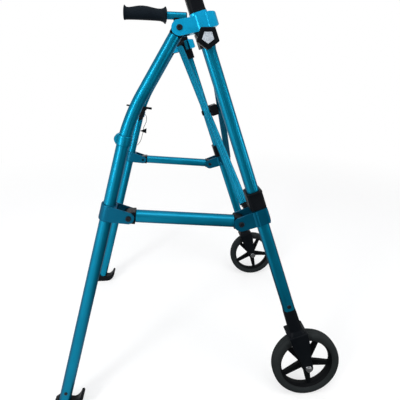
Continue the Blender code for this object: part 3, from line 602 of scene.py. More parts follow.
def block(low, high):
    shape = bmesh.new()
    size = [b - a for a, b in zip(low, high)]
    middle = [(a + b) / 2 for a, b in zip(low, high)]
    bmesh.ops.create_cube(shape, size=1, matrix=at(*middle) @ Matrix.Diagonal((*size, 1)))
    return shape


def moved(shape, matrix):
    bmesh.ops.transform(shape, matrix=matrix, verts=shape.verts)
    return shape


def drawn_along(points, radius, around=40):
    """A round bar along a line in a side plane: a circle is extruded from point to point and turned."""
    shape = bmesh.new()
    points = [Vector(p) for p in points]
    heading = (points[1] - points[0]).normalized()
    start = Matrix.Translation(points[0]) @ heading.to_track_quat("Z", "Y").to_matrix().to_4x4()
    ring = bmesh.ops.create_circle(shape, cap_ends=True, segments=around, radius=radius,
                                   matrix=start)["verts"]
    edges = list({edge for vert in ring for edge in vert.link_edges})
    for i, (here, there) in enumerate(zip(points, points[1:])):
        after = points[i + 2] if i + 2 < len(points) else there + (there - here)
        next_heading = ((there - here).normalized() + (after - there).normalized()).normalized()
        out = bmesh.ops.extrude_edge_only(shape, edges=edges)["geom"]
        verts = [part for part in out if isinstance(part, bmesh.types.BMVert)]
        edges = [part for part in out if isinstance(part, bmesh.types.BMEdge)]
        edges = [edge for edge in edges if edge.verts[0] in verts and edge.verts[1] in verts]
        swing = heading.rotation_difference(next_heading).to_matrix().to_4x4()
        swing = Matrix.Translation(there) @ swing @ Matrix.Translation(-here)
        bmesh.ops.transform(shape, matrix=swing, verts=verts)
        heading = next_heading
    bmesh.ops.contextual_create(shape, geom=edges)
    bmesh.ops.recalc_face_normals(shape, faces=shape.faces)
    return shape


# %% Rounding, cutting and joining
def soften(shape, width, segments=3, steep=30):
    """Round every edge where two faces meet at more than `steep` degrees."""
    limit = math.radians(steep)
    edges = [e for e in shape.edges if len(e.link_faces) == 2 and e.calc_face_angle(0) > limit]
    bmesh.ops.bevel(shape, geom=edges, offset=width, offset_type="OFFSET", segments=segments,
                    profile=0.5, affect="EDGES", material=-1, clamp_overlap=True)
    return shape


def solid_step(base, tool, how):
    """Cuts one closed shape from another, or joins the two into one skin."""
    pair = []
    for shape in (base, tool):
        mesh = bpy.data.meshes.new("step")
        shape.to_mesh(mesh)
        shape.free()
        made = bpy.data.objects.new("step", mesh)
        scene.collection.objects.link(made)
        pair.append(made)
    step = pair[0].modifiers.new("step", "BOOLEAN")
    step.operation = how
    step.solver = "EXACT"
    step.object = pair[1]
    graph = bpy.context.evaluated_depsgraph_get()
    mesh = bpy.data.meshes.new_from_object(pair[0].evaluated_get(graph))
    result = bmesh.new()
    result.from_mesh(mesh)
    for made in pair:
        old = made.data
        bpy.data.objects.remove(made)
        bpy.data.meshes.remove(old)
    bpy.data.meshes.remove(mesh)
    bmesh.ops.remove_doubles(result, verts=result.verts, dist=1e-6)
    bmesh.ops.dissolve_limit(result, angle_limit=math.radians(0.4), verts=result.verts, edges=result.edges)
    return result


def carved(base, *tools):
    for tool in tools:
        base = solid_step(base, tool, "DIFFERENCE")
    return base


def grown(base, *tools):
    for tool in tools:
        base = solid_step(base, tool, "UNION")
    return base


# %% [markdown]
# The last tool puts a finished shape on the walker. It writes the place into the mesh, shades the shape
# smooth up to its creases, weights the normals so that broad faces stay flat beside rounded edges, gives
# it its material, attaches it to the body that carries it and hides the solid it stands for.

# %% Finished pieces
made_pieces = []


def settle(name, shape, place, look, body, stands_for=(), crease=38, weighted=True):
    moved(shape, place)
    bmesh.ops.recalc_face_normals(shape, faces=shape.faces)
    mesh = bpy.data.meshes.new(name)
    shape.to_mesh(mesh)
    shape.free()
    mesh.materials.append(look)
    mesh.shade_smooth()
    mesh.set_sharp_from_angle(angle=math.radians(crease))
    made = bpy.data.objects.new(name, mesh)
    scene.collection.objects.link(made)
    if weighted:
        even = made.modifiers.new("even normals", "WEIGHTED_NORMAL")
        even.keep_sharp = True
        even.weight = 100
    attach(made, body)
    if stands_for:
        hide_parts(*stands_for)
    made_pieces.append(name)
    return made

# %% [markdown]
# The front leg is drawn aluminium: a rounded rectangle whose side faces carry two fine grooves. In the
# picture they are the thin bright lines that run the whole length. A section like this is best made as
# an outline and drawn to length, with the same inner hollow that the handle post slides in.

# %% Front legs
def grooved(deep, wide, corner, reach=0.0040, groove=0.0007):
    """A rounded rectangle with two V grooves in each side face."""
    loop = []
    hx = deep / 2 - corner
    hy = wide / 2 - corner
    for sx, sy, start in ((1, 1, 0), (-1, 1, 90), (-1, -1, 180), (1, -1, 270)):
        loop += arc(sx * hx, sy * hy, corner, start, start + 90, 6)
        if start in (0, 180):
            way = 1 if start == 0 else -1
            side = way * wide / 2
            for middle in (way * reach, -way * reach):
                loop += [(middle + way * 0.0010, side), (middle, side - way * groove),
                         (middle - way * 0.0010, side)]
    return loop


def front_leg(word, side):
    outer = grooved(LEG_DEEP, LEG_WIDE, LEG_CORNER)
    inner = rounded(LEG_DEEP - 2 * LEG_WALL, LEG_WIDE - 2 * LEG_WALL, LEG_CORNER - LEG_WALL)
    tube = pipe(outer, inner, LEG_BOTTOM, LEG_TOP)
    hole = moved(drum(0.0044, 0.004, 0.030), at(0, 0, KNOB_UP) @ outward(side))
    tube = carved(tube, hole)
    settle(f"{word}_fluted_leg", tube, leg_frame(side), TEAL, f"{word}_frame", [f"{word}_front_leg"])
    # A flush black screw holds the fork's plug in the leg
    screw = turned([(0, -0.0010), (0.0044, -0.0010), (0.0044, 0.0002), (0.0040, 0.0006), (0, 0.0009)], 32)
    socket = prism(arc(0, 0, 0.0016, 0, 360, 6)[:-1], 0.0002, 0.002)
    screw = carved(screw, socket)
    place = leg_frame(side) @ at(0, side * LEG_WIDE / 2, LEG_BOTTOM + 0.0105) @ outward(side)
    settle(f"{word}_leg_screw", screw, place, DARK, f"{word}_frame")


for word, side in SIDES.items():
    front_leg(word, side)
print("front legs:", made_pieces)

# %% [markdown]
# The fork is one black moulding: a stem that carries on the leg's section, a sloping shoulder, a crown
# that steps out over the wheel, and two plates that narrow to a round boss at the axle. Rounding each part
# before joining them keeps the joining lines crisp, as in a mould.

# %% Forks
FORK_HALF = 0.020
FORK_PLATE = 0.004
CROWN_BOTTOM = 0.0780
CROWN_TOP = 0.0840
SHOULDER_TOP = 0.0925


def tapered(*sections):
    """A stem through outlines at several heights, all with the same count of points."""
    shape = bmesh.new()
    rings = []
    for loop, z in sections:
        verts = [shape.verts.new((x, y, z)) for x, y in loop]
        rings.append([shape.edges.new((a, b)) for a, b in zip(verts, verts[1:] + verts[:1])])
    for lower, upper in zip(rings, rings[1:]):
        bmesh.ops.bridge_loops(shape, edges=lower + upper)
    for ring in (rings[0], rings[-1]):
        bmesh.ops.contextual_create(shape, geom=ring)
    bmesh.ops.recalc_face_normals(shape, faces=shape.faces)
    return shape


def fork(word, side):
    crown = soften(block((-0.021, -FORK_HALF, CROWN_BOTTOM), (0.021, FORK_HALF, CROWN_TOP)), 0.0020, 3)
    side_view = arc(0, 0, 0.0105, 180, 360, 20) + [
        (0.0118, 0.020), (0.0186, 0.055), (0.0197, 0.064), (0.0200, CROWN_TOP - 0.0010),
        (-0.0200, CROWN_TOP - 0.0010), (-0.0197, 0.064), (-0.0186, 0.055), (-0.0118, 0.020)]
    middle = FORK_HALF - FORK_PLATE / 2
    plates = []
    for y in (-middle, middle):
        blade = soften(prism(side_view, -FORK_PLATE / 2, FORK_PLATE / 2), 0.0009, 2, 50)
        plates.append(moved(blade, at(0, y, 0) @ SIDEWAYS))
    stem = tapered(
        (rounded(0.0370, 0.0350, LEG_CORNER), CROWN_TOP - 0.0020),
        (rounded(0.0370, 0.0350, LEG_CORNER), CROWN_TOP + 0.0006),
        (rounded(0.0300, 0.0286, LEG_CORNER), SHOULDER_TOP - 0.0022),
        (rounded(0.0282, 0.0270, LEG_CORNER), SHOULDER_TOP + 0.0010),
        (rounded(0.0268, 0.0260, LEG_CORNER), LEG_BOTTOM - 0.012),
        (rounded(LEG_DEEP, LEG_WIDE, LEG_CORNER), LEG_BOTTOM - GAP),
    )
    plug = prism(rounded(LEG_DEEP - 2 * LEG_WALL - 0.0006, LEG_WIDE - 2 * LEG_WALL - 0.0006, 0.006),
                 LEG_BOTTOM - 0.003, LEG_BOTTOM + 0.045)
    made = grown(crown, *plates, stem, plug)
    made = carved(made, moved(drum(AXLE_BORE, -THROUGH, THROUGH), SIDEWAYS))
    settle(f"{word}_moulded_fork", made, leg_frame(side), BLACK, f"{word}_frame", [f"{word}_fork"])


for word, side in SIDES.items():
    fork(word, side)
print("forks made")

# %% [markdown]
# The wheel is a black moulding with a hub, five flat spokes and a deep ring. The gaps between spokes are
# triangles with rounded corners, so it is simplest to start from a whole disc and cut five windows.
# The ring that grips the tyre is turned on a lathe, with a lip on each side.

# %% Wheel mouldings
SPOKE_TURN = 209
SPOKE_START = 0.0150
SPOKE_END = 0.0096
RING_INSIDE = 0.0549


def window(turn):
    """One gap between two spokes, with its corners rounded."""
    outer = RING_INSIDE + 0.0002
    # Half a spoke's width, as an angle at the ring, is left on each side of the gap
    reach = 36 - math.degrees(SPOKE_END / 2 / outer)
    foot = Vector((math.cos(math.radians(36)), math.sin(math.radians(36)))) * 0.0135
    foot = foot + Vector((foot.y, -foot.x)).normalized() * SPOKE_START / 2
    corner = Vector((math.cos(math.radians(reach)), math.sin(math.radians(reach)))) * outer
    slope = (corner.y - foot.y) / (corner.x - foot.x)
    apex_x = foot.x - foot.y / slope + 0.0010 / slope
    points = [(apex_x, -0.0010)] + arc(0, 0, outer, -reach, reach, 10) + [(apex_x, 0.0010)]
    shape = prism(points, -0.03, 0.03)
    corners = [e for e in shape.edges
               if abs(e.verts[0].co.z - e.verts[1].co.z) > 0.01 and e.calc_face_angle(0) > math.radians(25)]
    bmesh.ops.bevel(shape, geom=corners, offset=0.0034, offset_type="OFFSET", segments=5, profile=0.5,
                    affect="EDGES", material=-1, clamp_overlap=True)
    return moved(shape, Matrix.Rotation(math.radians(turn), 4, "Z"))


def wheel(word, side):
    middle = tilted(AXLE_X, side * HALF_TRACK, WHEEL_RADIUS, 0) @ SIDEWAYS
    web = drum(0.0565, -0.0032, 0.0032, 80)
    for i in range(5):
        # Spokes are at 209 degrees and every 72 degrees on, seen from the near side, so gaps are between
        web = carved(web, window(SPOKE_TURN + 36 + 72 * i))
    web = soften(web, 0.0006, 3, 60)
    half = [(0.0552, 0.0022), (0.0554, 0.0038), (0.0560, 0.0052), (0.0568, 0.0068), (0.0573, 0.0079),
            (0.0579, 0.0085), (0.0584, 0.0086), (0.0590, 0.0082)]
    ring = turned(half + [(r, -z) for r, z in reversed(half)], 96, True)
    hub = turned([(0, -0.0156), (0.0112, -0.0156), (0.0122, -0.0148), (0.0140, -0.0062), (0.0140, 0.0062),
                  (0.0122, 0.0148), (0.0112, 0.0156), (0, 0.0156)], 48)
    made = grown(web, ring, hub)
    made = carved(made, drum(AXLE_BORE, -THROUGH, THROUGH))
    settle(f"{word}_moulded_wheel", made, middle, RIM_BLACK, f"{word}_wheel", [f"{word}_wheel_rim"])


# %% [markdown]
# The tyre is solid grey rubber. Its sidewall bulges a little, a fine line marks where it meets the ring,
# and three shallow grooves run round the tread. All of it is one profile on the lathe.

# %% Tyres and axle bolts
def tyre(word, side):
    middle = tilted(AXLE_X, side * HALF_TRACK, WHEEL_RADIUS, 0) @ SIDEWAYS
    half = [(0.0593, 0.0076), (0.0594, 0.0088), (0.0602, 0.0092), (0.0608, 0.0089), (0.0614, 0.0095),
            (0.0645, 0.0103), (0.0680, 0.0108), (0.0712, 0.0105), (0.0735, 0.0093), (0.0750, 0.0074),
            (0.0756, 0.0056), (0.0748, 0.0050), (0.0757, 0.0044), (0.0760, 0.0014), (0.0752, 0.0006)]
    profile = half + [(r, -z) for r, z in reversed(half)]
    made = turned(profile, 120, True)
    settle(f"{word}_grey_tyre", made, middle, TYRE, f"{word}_wheel", [f"{word}_tyre"],
           weighted=False)


def domed_head(radius, tall, socket, sides=6):
    """A bolt head with a rounded crown and a socket for a key."""
    head = turned([(0, 0), (radius, 0), (radius, tall * 0.45), (radius * 0.93, tall * 0.78),
                   (radius * 0.72, tall), (0, tall)], 40)
    key = prism(arc(0, 0, socket, 0, 360, sides)[:-1], tall * 0.3, tall * 2)
    return carved(head, key)


def axle_bolt(word, side):
    """A smooth shank, a domed head outside and a flat nut inside, each on a thin washer."""
    shank = drum(0.0040, -FORK_HALF - GAP - 0.001, FORK_HALF + GAP + 0.001, 32)
    washer = drum(0.0072, FORK_HALF + GAP, FORK_HALF + 0.0012, 40, 0.0003)
    head = moved(domed_head(0.0062, 0.0034, 0.0026), at(0, 0, FORK_HALF + 0.0011))
    back_washer = drum(0.0072, -FORK_HALF - 0.0012, -FORK_HALF - GAP, 40, 0.0003)
    nut = prism(arc(0, 0, 0.0068, 0, 360, 6)[:-1], -FORK_HALF - 0.0046, -FORK_HALF - 0.0011)
    soften(nut, 0.0005, 2)
    made = grown(shank, washer, head, back_washer, nut)
    settle(f"{word}_axle", made, leg_frame(side) @ outward(side), STEEL, f"{word}_frame",
           [f"{word}_axle_bolt"])


for word, side in SIDES.items():
    wheel(word, side)
    tyre(word, side)
    axle_bolt(word, side)
print("pieces so far:", len(made_pieces))

# %% [markdown]
# Two black clamps sit on each front leg. The lower one slides when the walker folds, and the upper one
# is fixed and carries the height knob. Both have a lug on the inner side, with a knuckle and a pin for
# the end of a brace bar, so one function makes both.

# %% Clamps on the front legs
def inner_block(side, x, y, z):
    """A block between two distances inboard of the leg's middle."""
    low, high = sorted((-side * y[0], -side * y[1]))
    return block((x[0], low, z[0]), (x[1], high, z[1]))


def clamp(name, side, bottom, top, pivot, plane_sign, body, solid, boss=False):
    outer = side * CHEEK_OUTSIDE
    inner = -side * (CHEEK_OUTSIDE + GAP + LUG_PLATE)
    middle = (outer + inner) / 2
    wide = abs(outer - inner)
    bore = rounded(LEG_DEEP + 2 * GAP, LEG_WIDE + 2 * GAP, LEG_CORNER)
    shell = pipe(rounded(2 * COLLAR_HALF_DEEP, wide, 0.006, 6, 0, middle), bore, bottom, top)
    soften(shell, 0.0010, 2, 50)
    lip = pipe(rounded(2 * COLLAR_HALF_DEEP + 0.0010, wide + 0.0010, 0.0065, 6, 0, middle), bore,
               top - 0.0048, top - 0.0012)
    soften(lip, 0.0005, 1, 50)
    low = min(bottom, pivot - 0.009) + 0.001
    high = max(top, pivot + 0.009) - 0.001
    web_in = CHEEK_OUTSIDE + GAP + LUG_PLATE
    # The lug stands on the half of the leg where its bar runs
    web = soften(inner_block(side, sorted((plane_sign * 0.0020, plane_sign * 0.0125)),
                             (CHEEK_OUTSIDE + GAP, web_in), (low, high)), 0.0010, 2)
    half = BAR_PLANE - 0.0054
    arm = soften(inner_block(side, sorted((plane_sign * 0.0031, plane_sign * half)),
                             (web_in - 0.001, PIVOT_INBOARD), (pivot - 0.0080, pivot + 0.0080)), 0.0008, 2)
    hinge = at(0, -side * PIVOT_INBOARD, pivot) @ Matrix.Rotation(math.pi / 2, 4, "Y")
    knuckle = moved(drum(0.0090, *sorted((plane_sign * 0.0030, plane_sign * half)), 40, 0.0006), hinge)
    pin_turn = at(0, -side * PIVOT_INBOARD, pivot) @ Matrix.Rotation(math.pi / 2 * plane_sign, 4, "Y")
    pin = moved(turned([(0, 0.004), (0.0030, 0.004), (0.0030, 0.0249), (0.0055, 0.0249), (0.0055, 0.0258),
                        (0.0040, 0.0268), (0, 0.0268)], 32), pin_turn)
    made = grown(shell, lip, web, arm, knuckle, pin)
    if boss:
        out = at(0, 0, KNOB_UP) @ outward(side)
        made = grown(made, moved(drum(0.0105, 0.0145, 0.0205, 40, 0.0006), out))
        made = carved(made, moved(drum(0.0044, 0.010, 0.030), out))
    settle(name, made, leg_frame(side), BLACK, body, [solid])


for word, side in SIDES.items():
    high_sign = 1 if side < 0 else -1
    clamp(f"{word}_sliding_clamp", side, COLLAR_BOTTOM, COLLAR_TOP, LOW_PIVOT, -high_sign,
          f"{word}_slider", f"{word}_slide_collar")
    clamp(f"{word}_fixed_clamp", side, CLAMP_BOTTOM, CLAMP_TOP, HIGH_PIVOT, high_sign,
          f"{word}_frame", f"{word}_top_collar", True)
print("clamps made")

# %% [markdown]
# The lower bracket is a casting that wraps the front of the leg and reaches back with two cheeks to hold
# the side bar. Its side view is an outline, and its front corners are round seen from above, so the shape
# is what the two views have in common. The slot for the leg and the bar is cut last.

# %% Sliding brackets
RIB_RADIUS = 0.0070
HOUSING_WIDE = 0.0173


def wrap_plan(rib_at, nose, corner, low, high, front_rib=False):
    """Seen from above: two flat cheeks, a round rib beside the leg, its housing, and the round front."""
    loop = [(-0.0950, CHEEK_OUTSIDE)]
    loop += arc(rib_at, 0.0188 - RIB_RADIUS, RIB_RADIUS, 140, 52, 10)
    if front_rib:
        loop += arc(0.0122, 0.0154, 0.0026, 133, 47, 6)
    loop += arc(nose - corner, HOUSING_WIDE - corner, corner, 90, 0, 10)
    return prism([(x, -y) for x, y in loop] + loop[::-1], low - 0.02, high + 0.02)


def slide_bracket(word, side):
    bolt_x, bolt_z = FRONT_BOLT
    side_view = (
        arc(bolt_x, bolt_z, 0.0150, 110, 262, 24)
        + [(-0.020, STRAP_BOTTOM), (0.0142, STRAP_BOTTOM), (0.0160, STRAP_BOTTOM + 0.004)]
        + [(0.0170, STRAP_BOTTOM + 0.012), (0.0168, STRAP_BOTTOM + 0.022), (0.0160, COLLAR_BOTTOM - GAP)]
    )
    body = moved(prism(side_view, -0.0200, 0.0200), SIDEWAYS)
    body = solid_step(body, wrap_plan(-0.0108, 0.0174, 0.0060, STRAP_BOTTOM, COLLAR_BOTTOM), "INTERSECT")
    body = soften(body, 0.0008, 2, 60)
    slot = block((-0.090, -CHEEK_INSIDE, STRAP_BOTTOM - 0.02),
                 (LEG_DEEP / 2 + GAP, CHEEK_INSIDE, COLLAR_BOTTOM + 0.02))
    bore = moved(drum(BOLT_BORE, -THROUGH, THROUGH), at(bolt_x, 0, bolt_z) @ SIDEWAYS)
    body = carved(body, slot, bore)
    settle(f"{word}_cast_slider", body, leg_frame(side), CAST, f"{word}_slider", [f"{word}_slide_bracket"])


# %% [markdown]
# The upper bracket is brighter and fuller, but it has the same plan: the housing round the leg stands proud
# of the two cheeks that hold the rear leg's bolt. The round rib between them is what catches the bright
# vertical glint in the picture, and a finer one runs along the front of the leg. A short lip on top goes
# round the foot of the post sleeve.

# %% Upper brackets
def upper_bracket(word, side):
    back_x, back_z = BACK_BOLT
    low = CLAMP_TOP + GAP
    side_view = (
        arc(back_x, back_z, 0.0150, 100, 262, 24)
        + [(-0.0100, low), (0.0262, low), (0.0290, low + 0.0012), (0.0303, low + 0.0040)]
        + [(0.0303, BRACKET_TOP - 0.0070), (0.0296, BRACKET_TOP - 0.0042), (0.0280, BRACKET_TOP - 0.0029)]
        + [(0.0175, BRACKET_TOP)]
        + [(-0.0180, BRACKET_TOP)]
    )
    body = moved(prism(side_view, -0.0200, 0.0200), SIDEWAYS)
    body = solid_step(body, wrap_plan(-0.0050, 0.0310, 0.0110, low, BRACKET_TOP, True), "INTERSECT")
    body = soften(body, 0.0010, 3, 60)
    lip = prism(rounded(0.0336, 0.0314, 0.0095), BRACKET_TOP - 0.004, BRACKET_TOP + 0.0046)
    soften(lip, 0.0006, 2, 50)
    sleeve_space = prism(rounded(0.0306 + 2 * GAP, 0.0284 + 2 * GAP, 0.0085), BRACKET_TOP, BRACKET_TOP + 0.02)
    body = carved(grown(body, lip), sleeve_space)
    side_block = sorted((-side * 0.030, side * CHEEK_INSIDE))
    half = LEG_DEEP / 2 + GAP
    leg_slot = block((-half, side_block[0], CLAMP_TOP - 0.03), (half, side_block[1], BRACKET_TOP + 0.03))
    slot = block((-0.090, -CHEEK_INSIDE, CLAMP_TOP - 0.03), (-BACK_WALL, CHEEK_INSIDE, BRACKET_TOP + 0.03))
    bore = moved(drum(BOLT_BORE, -THROUGH, THROUGH), at(back_x, 0, back_z) @ SIDEWAYS)
    body = carved(body, slot, leg_slot, bore)
    settle(f"{word}_bright_bracket", body, leg_frame(side), BLUE, f"{word}_frame",
           [f"{word}_upper_bracket"])


def clevis_bolt(name, side, x, z, half, body, solid):
    """A dark bolt with a socket head outside and a riveted end inside."""
    shank = drum(0.0033, -half - GAP - 0.0002, half + GAP + 0.0002, 32)
    head = moved(domed_head(0.0056, 0.0020, 0.0024), at(0, 0, half + GAP))
    rivet = turned([(0, -half - 0.0016), (0.0030, -half - 0.0015), (0.0050, -half - 0.0008),
                    (0.0052, -half - GAP), (0, -half - GAP)], 32)
    made = grown(shank, head, rivet)
    place = leg_frame(side) @ at(x, 0, z) @ outward(side)
    settle(name, made, place, DARK, body, [solid])


for word, side in SIDES.items():
    slide_bracket(word, side)
    upper_bracket(word, side)
    clevis_bolt(f"{word}_side_bar_bolt", side, *FRONT_BOLT, CHEEK_OUTSIDE, f"{word}_slider",
                f"{word}_front_clevis_bolt")
    clevis_bolt(f"{word}_rear_leg_bolt", side, *BACK_BOLT, CHEEK_OUTSIDE, f"{word}_frame",
                f"{word}_upper_pivot_bolt")
print("brackets made, pieces so far:", len(made_pieces))

# %% [markdown]
# Above the bracket a black sleeve guides the handle post, a smaller black extrusion that slides in the
# leg. The post carries the handle tube across its top, with a small cap in the tube's front end.

# %% Handle posts and tubes
def handle_frame(side):
    """Z runs back along the handle, X up."""
    x, z = leg_point(0, HANDLE_UP)
    return tilted(x, side * HALF_TRACK, z, -math.pi / 2 + HANDLE_TILT)


def handle_post(word, side):
    low = BRACKET_TOP + GAP
    sleeve = soften(prism(rounded(0.0306, 0.0284, 0.0085), low, SLEEVE_TOP), 0.0012, 3, 50)
    ridge = soften(prism(rounded(0.0316, 0.0294, 0.0090), low + 0.0052, low + 0.0078), 0.0004, 1, 50)
    sleeve = grown(sleeve, ridge)
    leg_space = prism(rounded(LEG_DEEP + 2 * GAP, LEG_WIDE + 2 * GAP, LEG_CORNER), 0.700, LEG_TOP + GAP)
    post_space = prism(rounded(0.0212, 0.0212, 0.006), 0.700, 0.900)
    sleeve = carved(sleeve, leg_space, post_space)
    settle(f"{word}_black_sleeve", sleeve, leg_frame(side), BLACK, f"{word}_frame", [f"{word}_post_sleeve"])

    post = prism(grooved(0.0206, 0.0206, 0.006, 0.0028, 0.0006), POST_BOTTOM, HANDLE_UP + 0.004)
    soften(post, 0.0006, 1, 80)
    to_handle = leg_frame(side).inverted() @ handle_frame(side)
    saddle = moved(drum(HANDLE_RADIUS + GAP, -0.05, 0.05, 48), to_handle)
    post = carved(post, saddle)
    settle(f"{word}_fluted_post", post, leg_frame(side), BLACK, f"{word}_handle", [f"{word}_handle_post"])


def handle_tube(word, side):
    end = GRIP_START + GRIP_LENGTH - 0.006
    tube = drum(HANDLE_RADIUS, -HANDLE_FRONT, end, 48, 0.0008)
    settle(f"{word}_bright_handle_tube", tube, handle_frame(side), TEAL, f"{word}_handle",
           [f"{word}_handle_tube"])
    cap = turned([(0, -0.0024), (0.0085, -0.0022), (0.0112, -0.0015), (0.0122, -0.0004), (0.0122, 0.0004),
                  (0, 0.0004)], 48)
    settle(f"{word}_handle_cap", cap, handle_frame(side) @ at(0, 0, -HANDLE_FRONT), BLACK, f"{word}_handle")


# %% [markdown]
# The grip is one soft moulding. Its section is nearly round, but it swells upwards under the palm and is
# almost straight underneath, and it flares to a thin flange at both ends. A circle is extruded along
# the handle, and at each step it takes the height above and below the tube that the real grip has there.

# %% Grips
GRIP_SHAPE = (
    # distance along the grip, its top and its underside from the tube's middle line
    (0.0000, 0.0158, 0.0158),
    (0.0025, 0.0235, 0.0235),
    (0.0048, 0.0272, 0.0275),
    (0.0072, 0.0262, 0.0262),
    (0.0120, 0.0222, 0.0218),
    (0.0200, 0.0196, 0.0190),
    (0.0300, 0.0197, 0.0184),
    (0.0400, 0.0211, 0.0182),
    (0.0520, 0.0235, 0.0180),
    (0.0640, 0.0257, 0.0180),
    (0.0760, 0.0268, 0.0179),
    (0.0880, 0.0263, 0.0179),
    (0.1000, 0.0244, 0.0180),
    (0.1100, 0.0221, 0.0182),
    (0.1200, 0.0204, 0.0184),
    (0.1280, 0.0204, 0.0187),
    (0.1320, 0.0232, 0.0194),
    (0.1345, 0.0264, 0.0200),
    (0.1362, 0.0262, 0.0199),
    (0.1370, 0.0238, 0.0185),
)


def grip(word, side):
    shape = bmesh.new()
    spots = []
    for distance, above, below in GRIP_SHAPE:
        radius = (above + below) / 2
        wide = min(radius, 0.0200) if 0.011 < distance < 0.130 else radius
        middle = at((above - below) / 2, 0, GRIP_START + distance)
        spots.append(middle @ Matrix.Diagonal((radius, wide, 1, 1)))
    ring = bmesh.ops.create_circle(shape, cap_ends=True, segments=56, radius=1, matrix=spots[0])["verts"]
    edges = list({edge for vert in ring for edge in vert.link_edges})
    for here, there in zip(spots, spots[1:]):
        out = bmesh.ops.extrude_edge_only(shape, edges=edges)["geom"]
        verts = {part for part in out if isinstance(part, bmesh.types.BMVert)}
        edges = [part for part in out if isinstance(part, bmesh.types.BMEdge)
                 and part.verts[0] in verts and part.verts[1] in verts]
        bmesh.ops.transform(shape, matrix=there @ here.inverted(), verts=list(verts))
    bmesh.ops.contextual_create(shape, geom=edges)
    bmesh.ops.recalc_face_normals(shape, faces=shape.faces)
    # The closed end has a small dimple where the moulding was filled
    dimple = moved(drum(0.0060, -0.0012, 0.004, 40), at(0.0032, 0, GRIP_START + GRIP_LENGTH))
    shape = carved(shape, dimple)
    settle(f"{word}_soft_grip", shape, handle_frame(side), GRIP, f"{word}_handle",
           [f"{word}_handle_grip"], crease=50)


for word, side in SIDES.items():
    handle_post(word, side)
    handle_tube(word, side)
    grip(word, side)

# %% [markdown]
# The height knob is a five-sided hand nut with rounded points, one of which hangs straight down. Its face
# has a shallow pocket of the same shape, which the speckled silver insert fills.

# %% Height knobs
def pentagon(radius, corner):
    points = []
    for i in range(5):
        angle = 270 - math.degrees(LEG_LEAN) + 72 * i
        reach = radius - corner / math.cos(math.radians(36))
        cx = reach * math.cos(math.radians(angle))
        cy = reach * math.sin(math.radians(angle))
        points += arc(cx, cy, corner, angle - 36, angle + 36, 6)
    return points


def knob(word, side):
    face = 0.0330
    upright = leg_frame(side) @ at(0, 0, KNOB_UP) @ Matrix.Scale(-side, 4, (0, 1, 0)) @ SIDEWAYS
    body = soften(prism(pentagon(0.0224, 0.0030), 0.0210, face), 0.0018, 4, 50)
    pocket = prism(pentagon(0.0120, 0.0010), face - 0.0015, face + 0.002)
    stem = drum(0.0040, 0.0108, 0.0240)
    foot = drum(0.0105, 0.0206, 0.0225, 40)
    body = carved(grown(body, stem, foot), pocket)
    settle(f"{word}_hand_knob", body, upright, BLACK, f"{word}_knob", [f"{word}_height_knob"])
    insert = soften(prism(pentagon(0.0116, 0.0010), face - 0.0012, face + 0.0004), 0.0003, 2, 50)
    settle(f"{word}_silver_insert", insert, upright, SILVER, f"{word}_knob", [f"{word}_knob_insert"])


for word, side in SIDES.items():
    knob(word, side)
print("handles made, pieces so far:", len(made_pieces))

# %% [markdown]
# The rear leg is one round tube with a gentle bend below its bolt. It is drawn along its middle line, a
# circle extruded from point to point. A ring with a half-round ear is pressed on just under the bend.

# %% Rear legs
def rear_line():
    """Points of the rear leg's middle line in the side plane, from its top end down to the foot."""
    hinge = Vector((leg_point(*BACK_BOLT)[0], 0, leg_point(*BACK_BOLT)[1]))
    bend = Vector((AXLE_X - REAR_BEND_BACK, 0, REAR_BEND_UP))
    downward = (bend - hinge).normalized()
    slope = Vector((-math.sin(REAR_TILT), 0, -math.cos(REAR_TILT)))
    foot = bend + slope * ((REAR_BEND_UP - REAR_TUBE_END) / math.cos(REAR_TILT))
    corner = 0.055
    first = bend - downward * corner
    last = bend + slope * corner
    points = [hinge + downward * (EYE_REACH + GAP)]
    for i in range(21):
        t = i / 20
        points.append(first.lerp(bend, t).lerp(bend.lerp(last, t), t))
    return hinge, downward, points + [foot]


REAR_HINGE, REAR_DOWN, REAR_LINE = rear_line()


def on_rear_leg(up):
    """Where the rear leg is at a height, and how far it leans there."""
    for high, low in zip(REAR_LINE, REAR_LINE[1:]):
        if low.z <= up <= high.z:
            t = (up - low.z) / (high.z - low.z)
            return low.x + t * (high.x - low.x), math.atan2(high.x - low.x, high.z - low.z)
    raise ValueError("the rear leg does not reach this height")


SCREW_UP = 0.0480


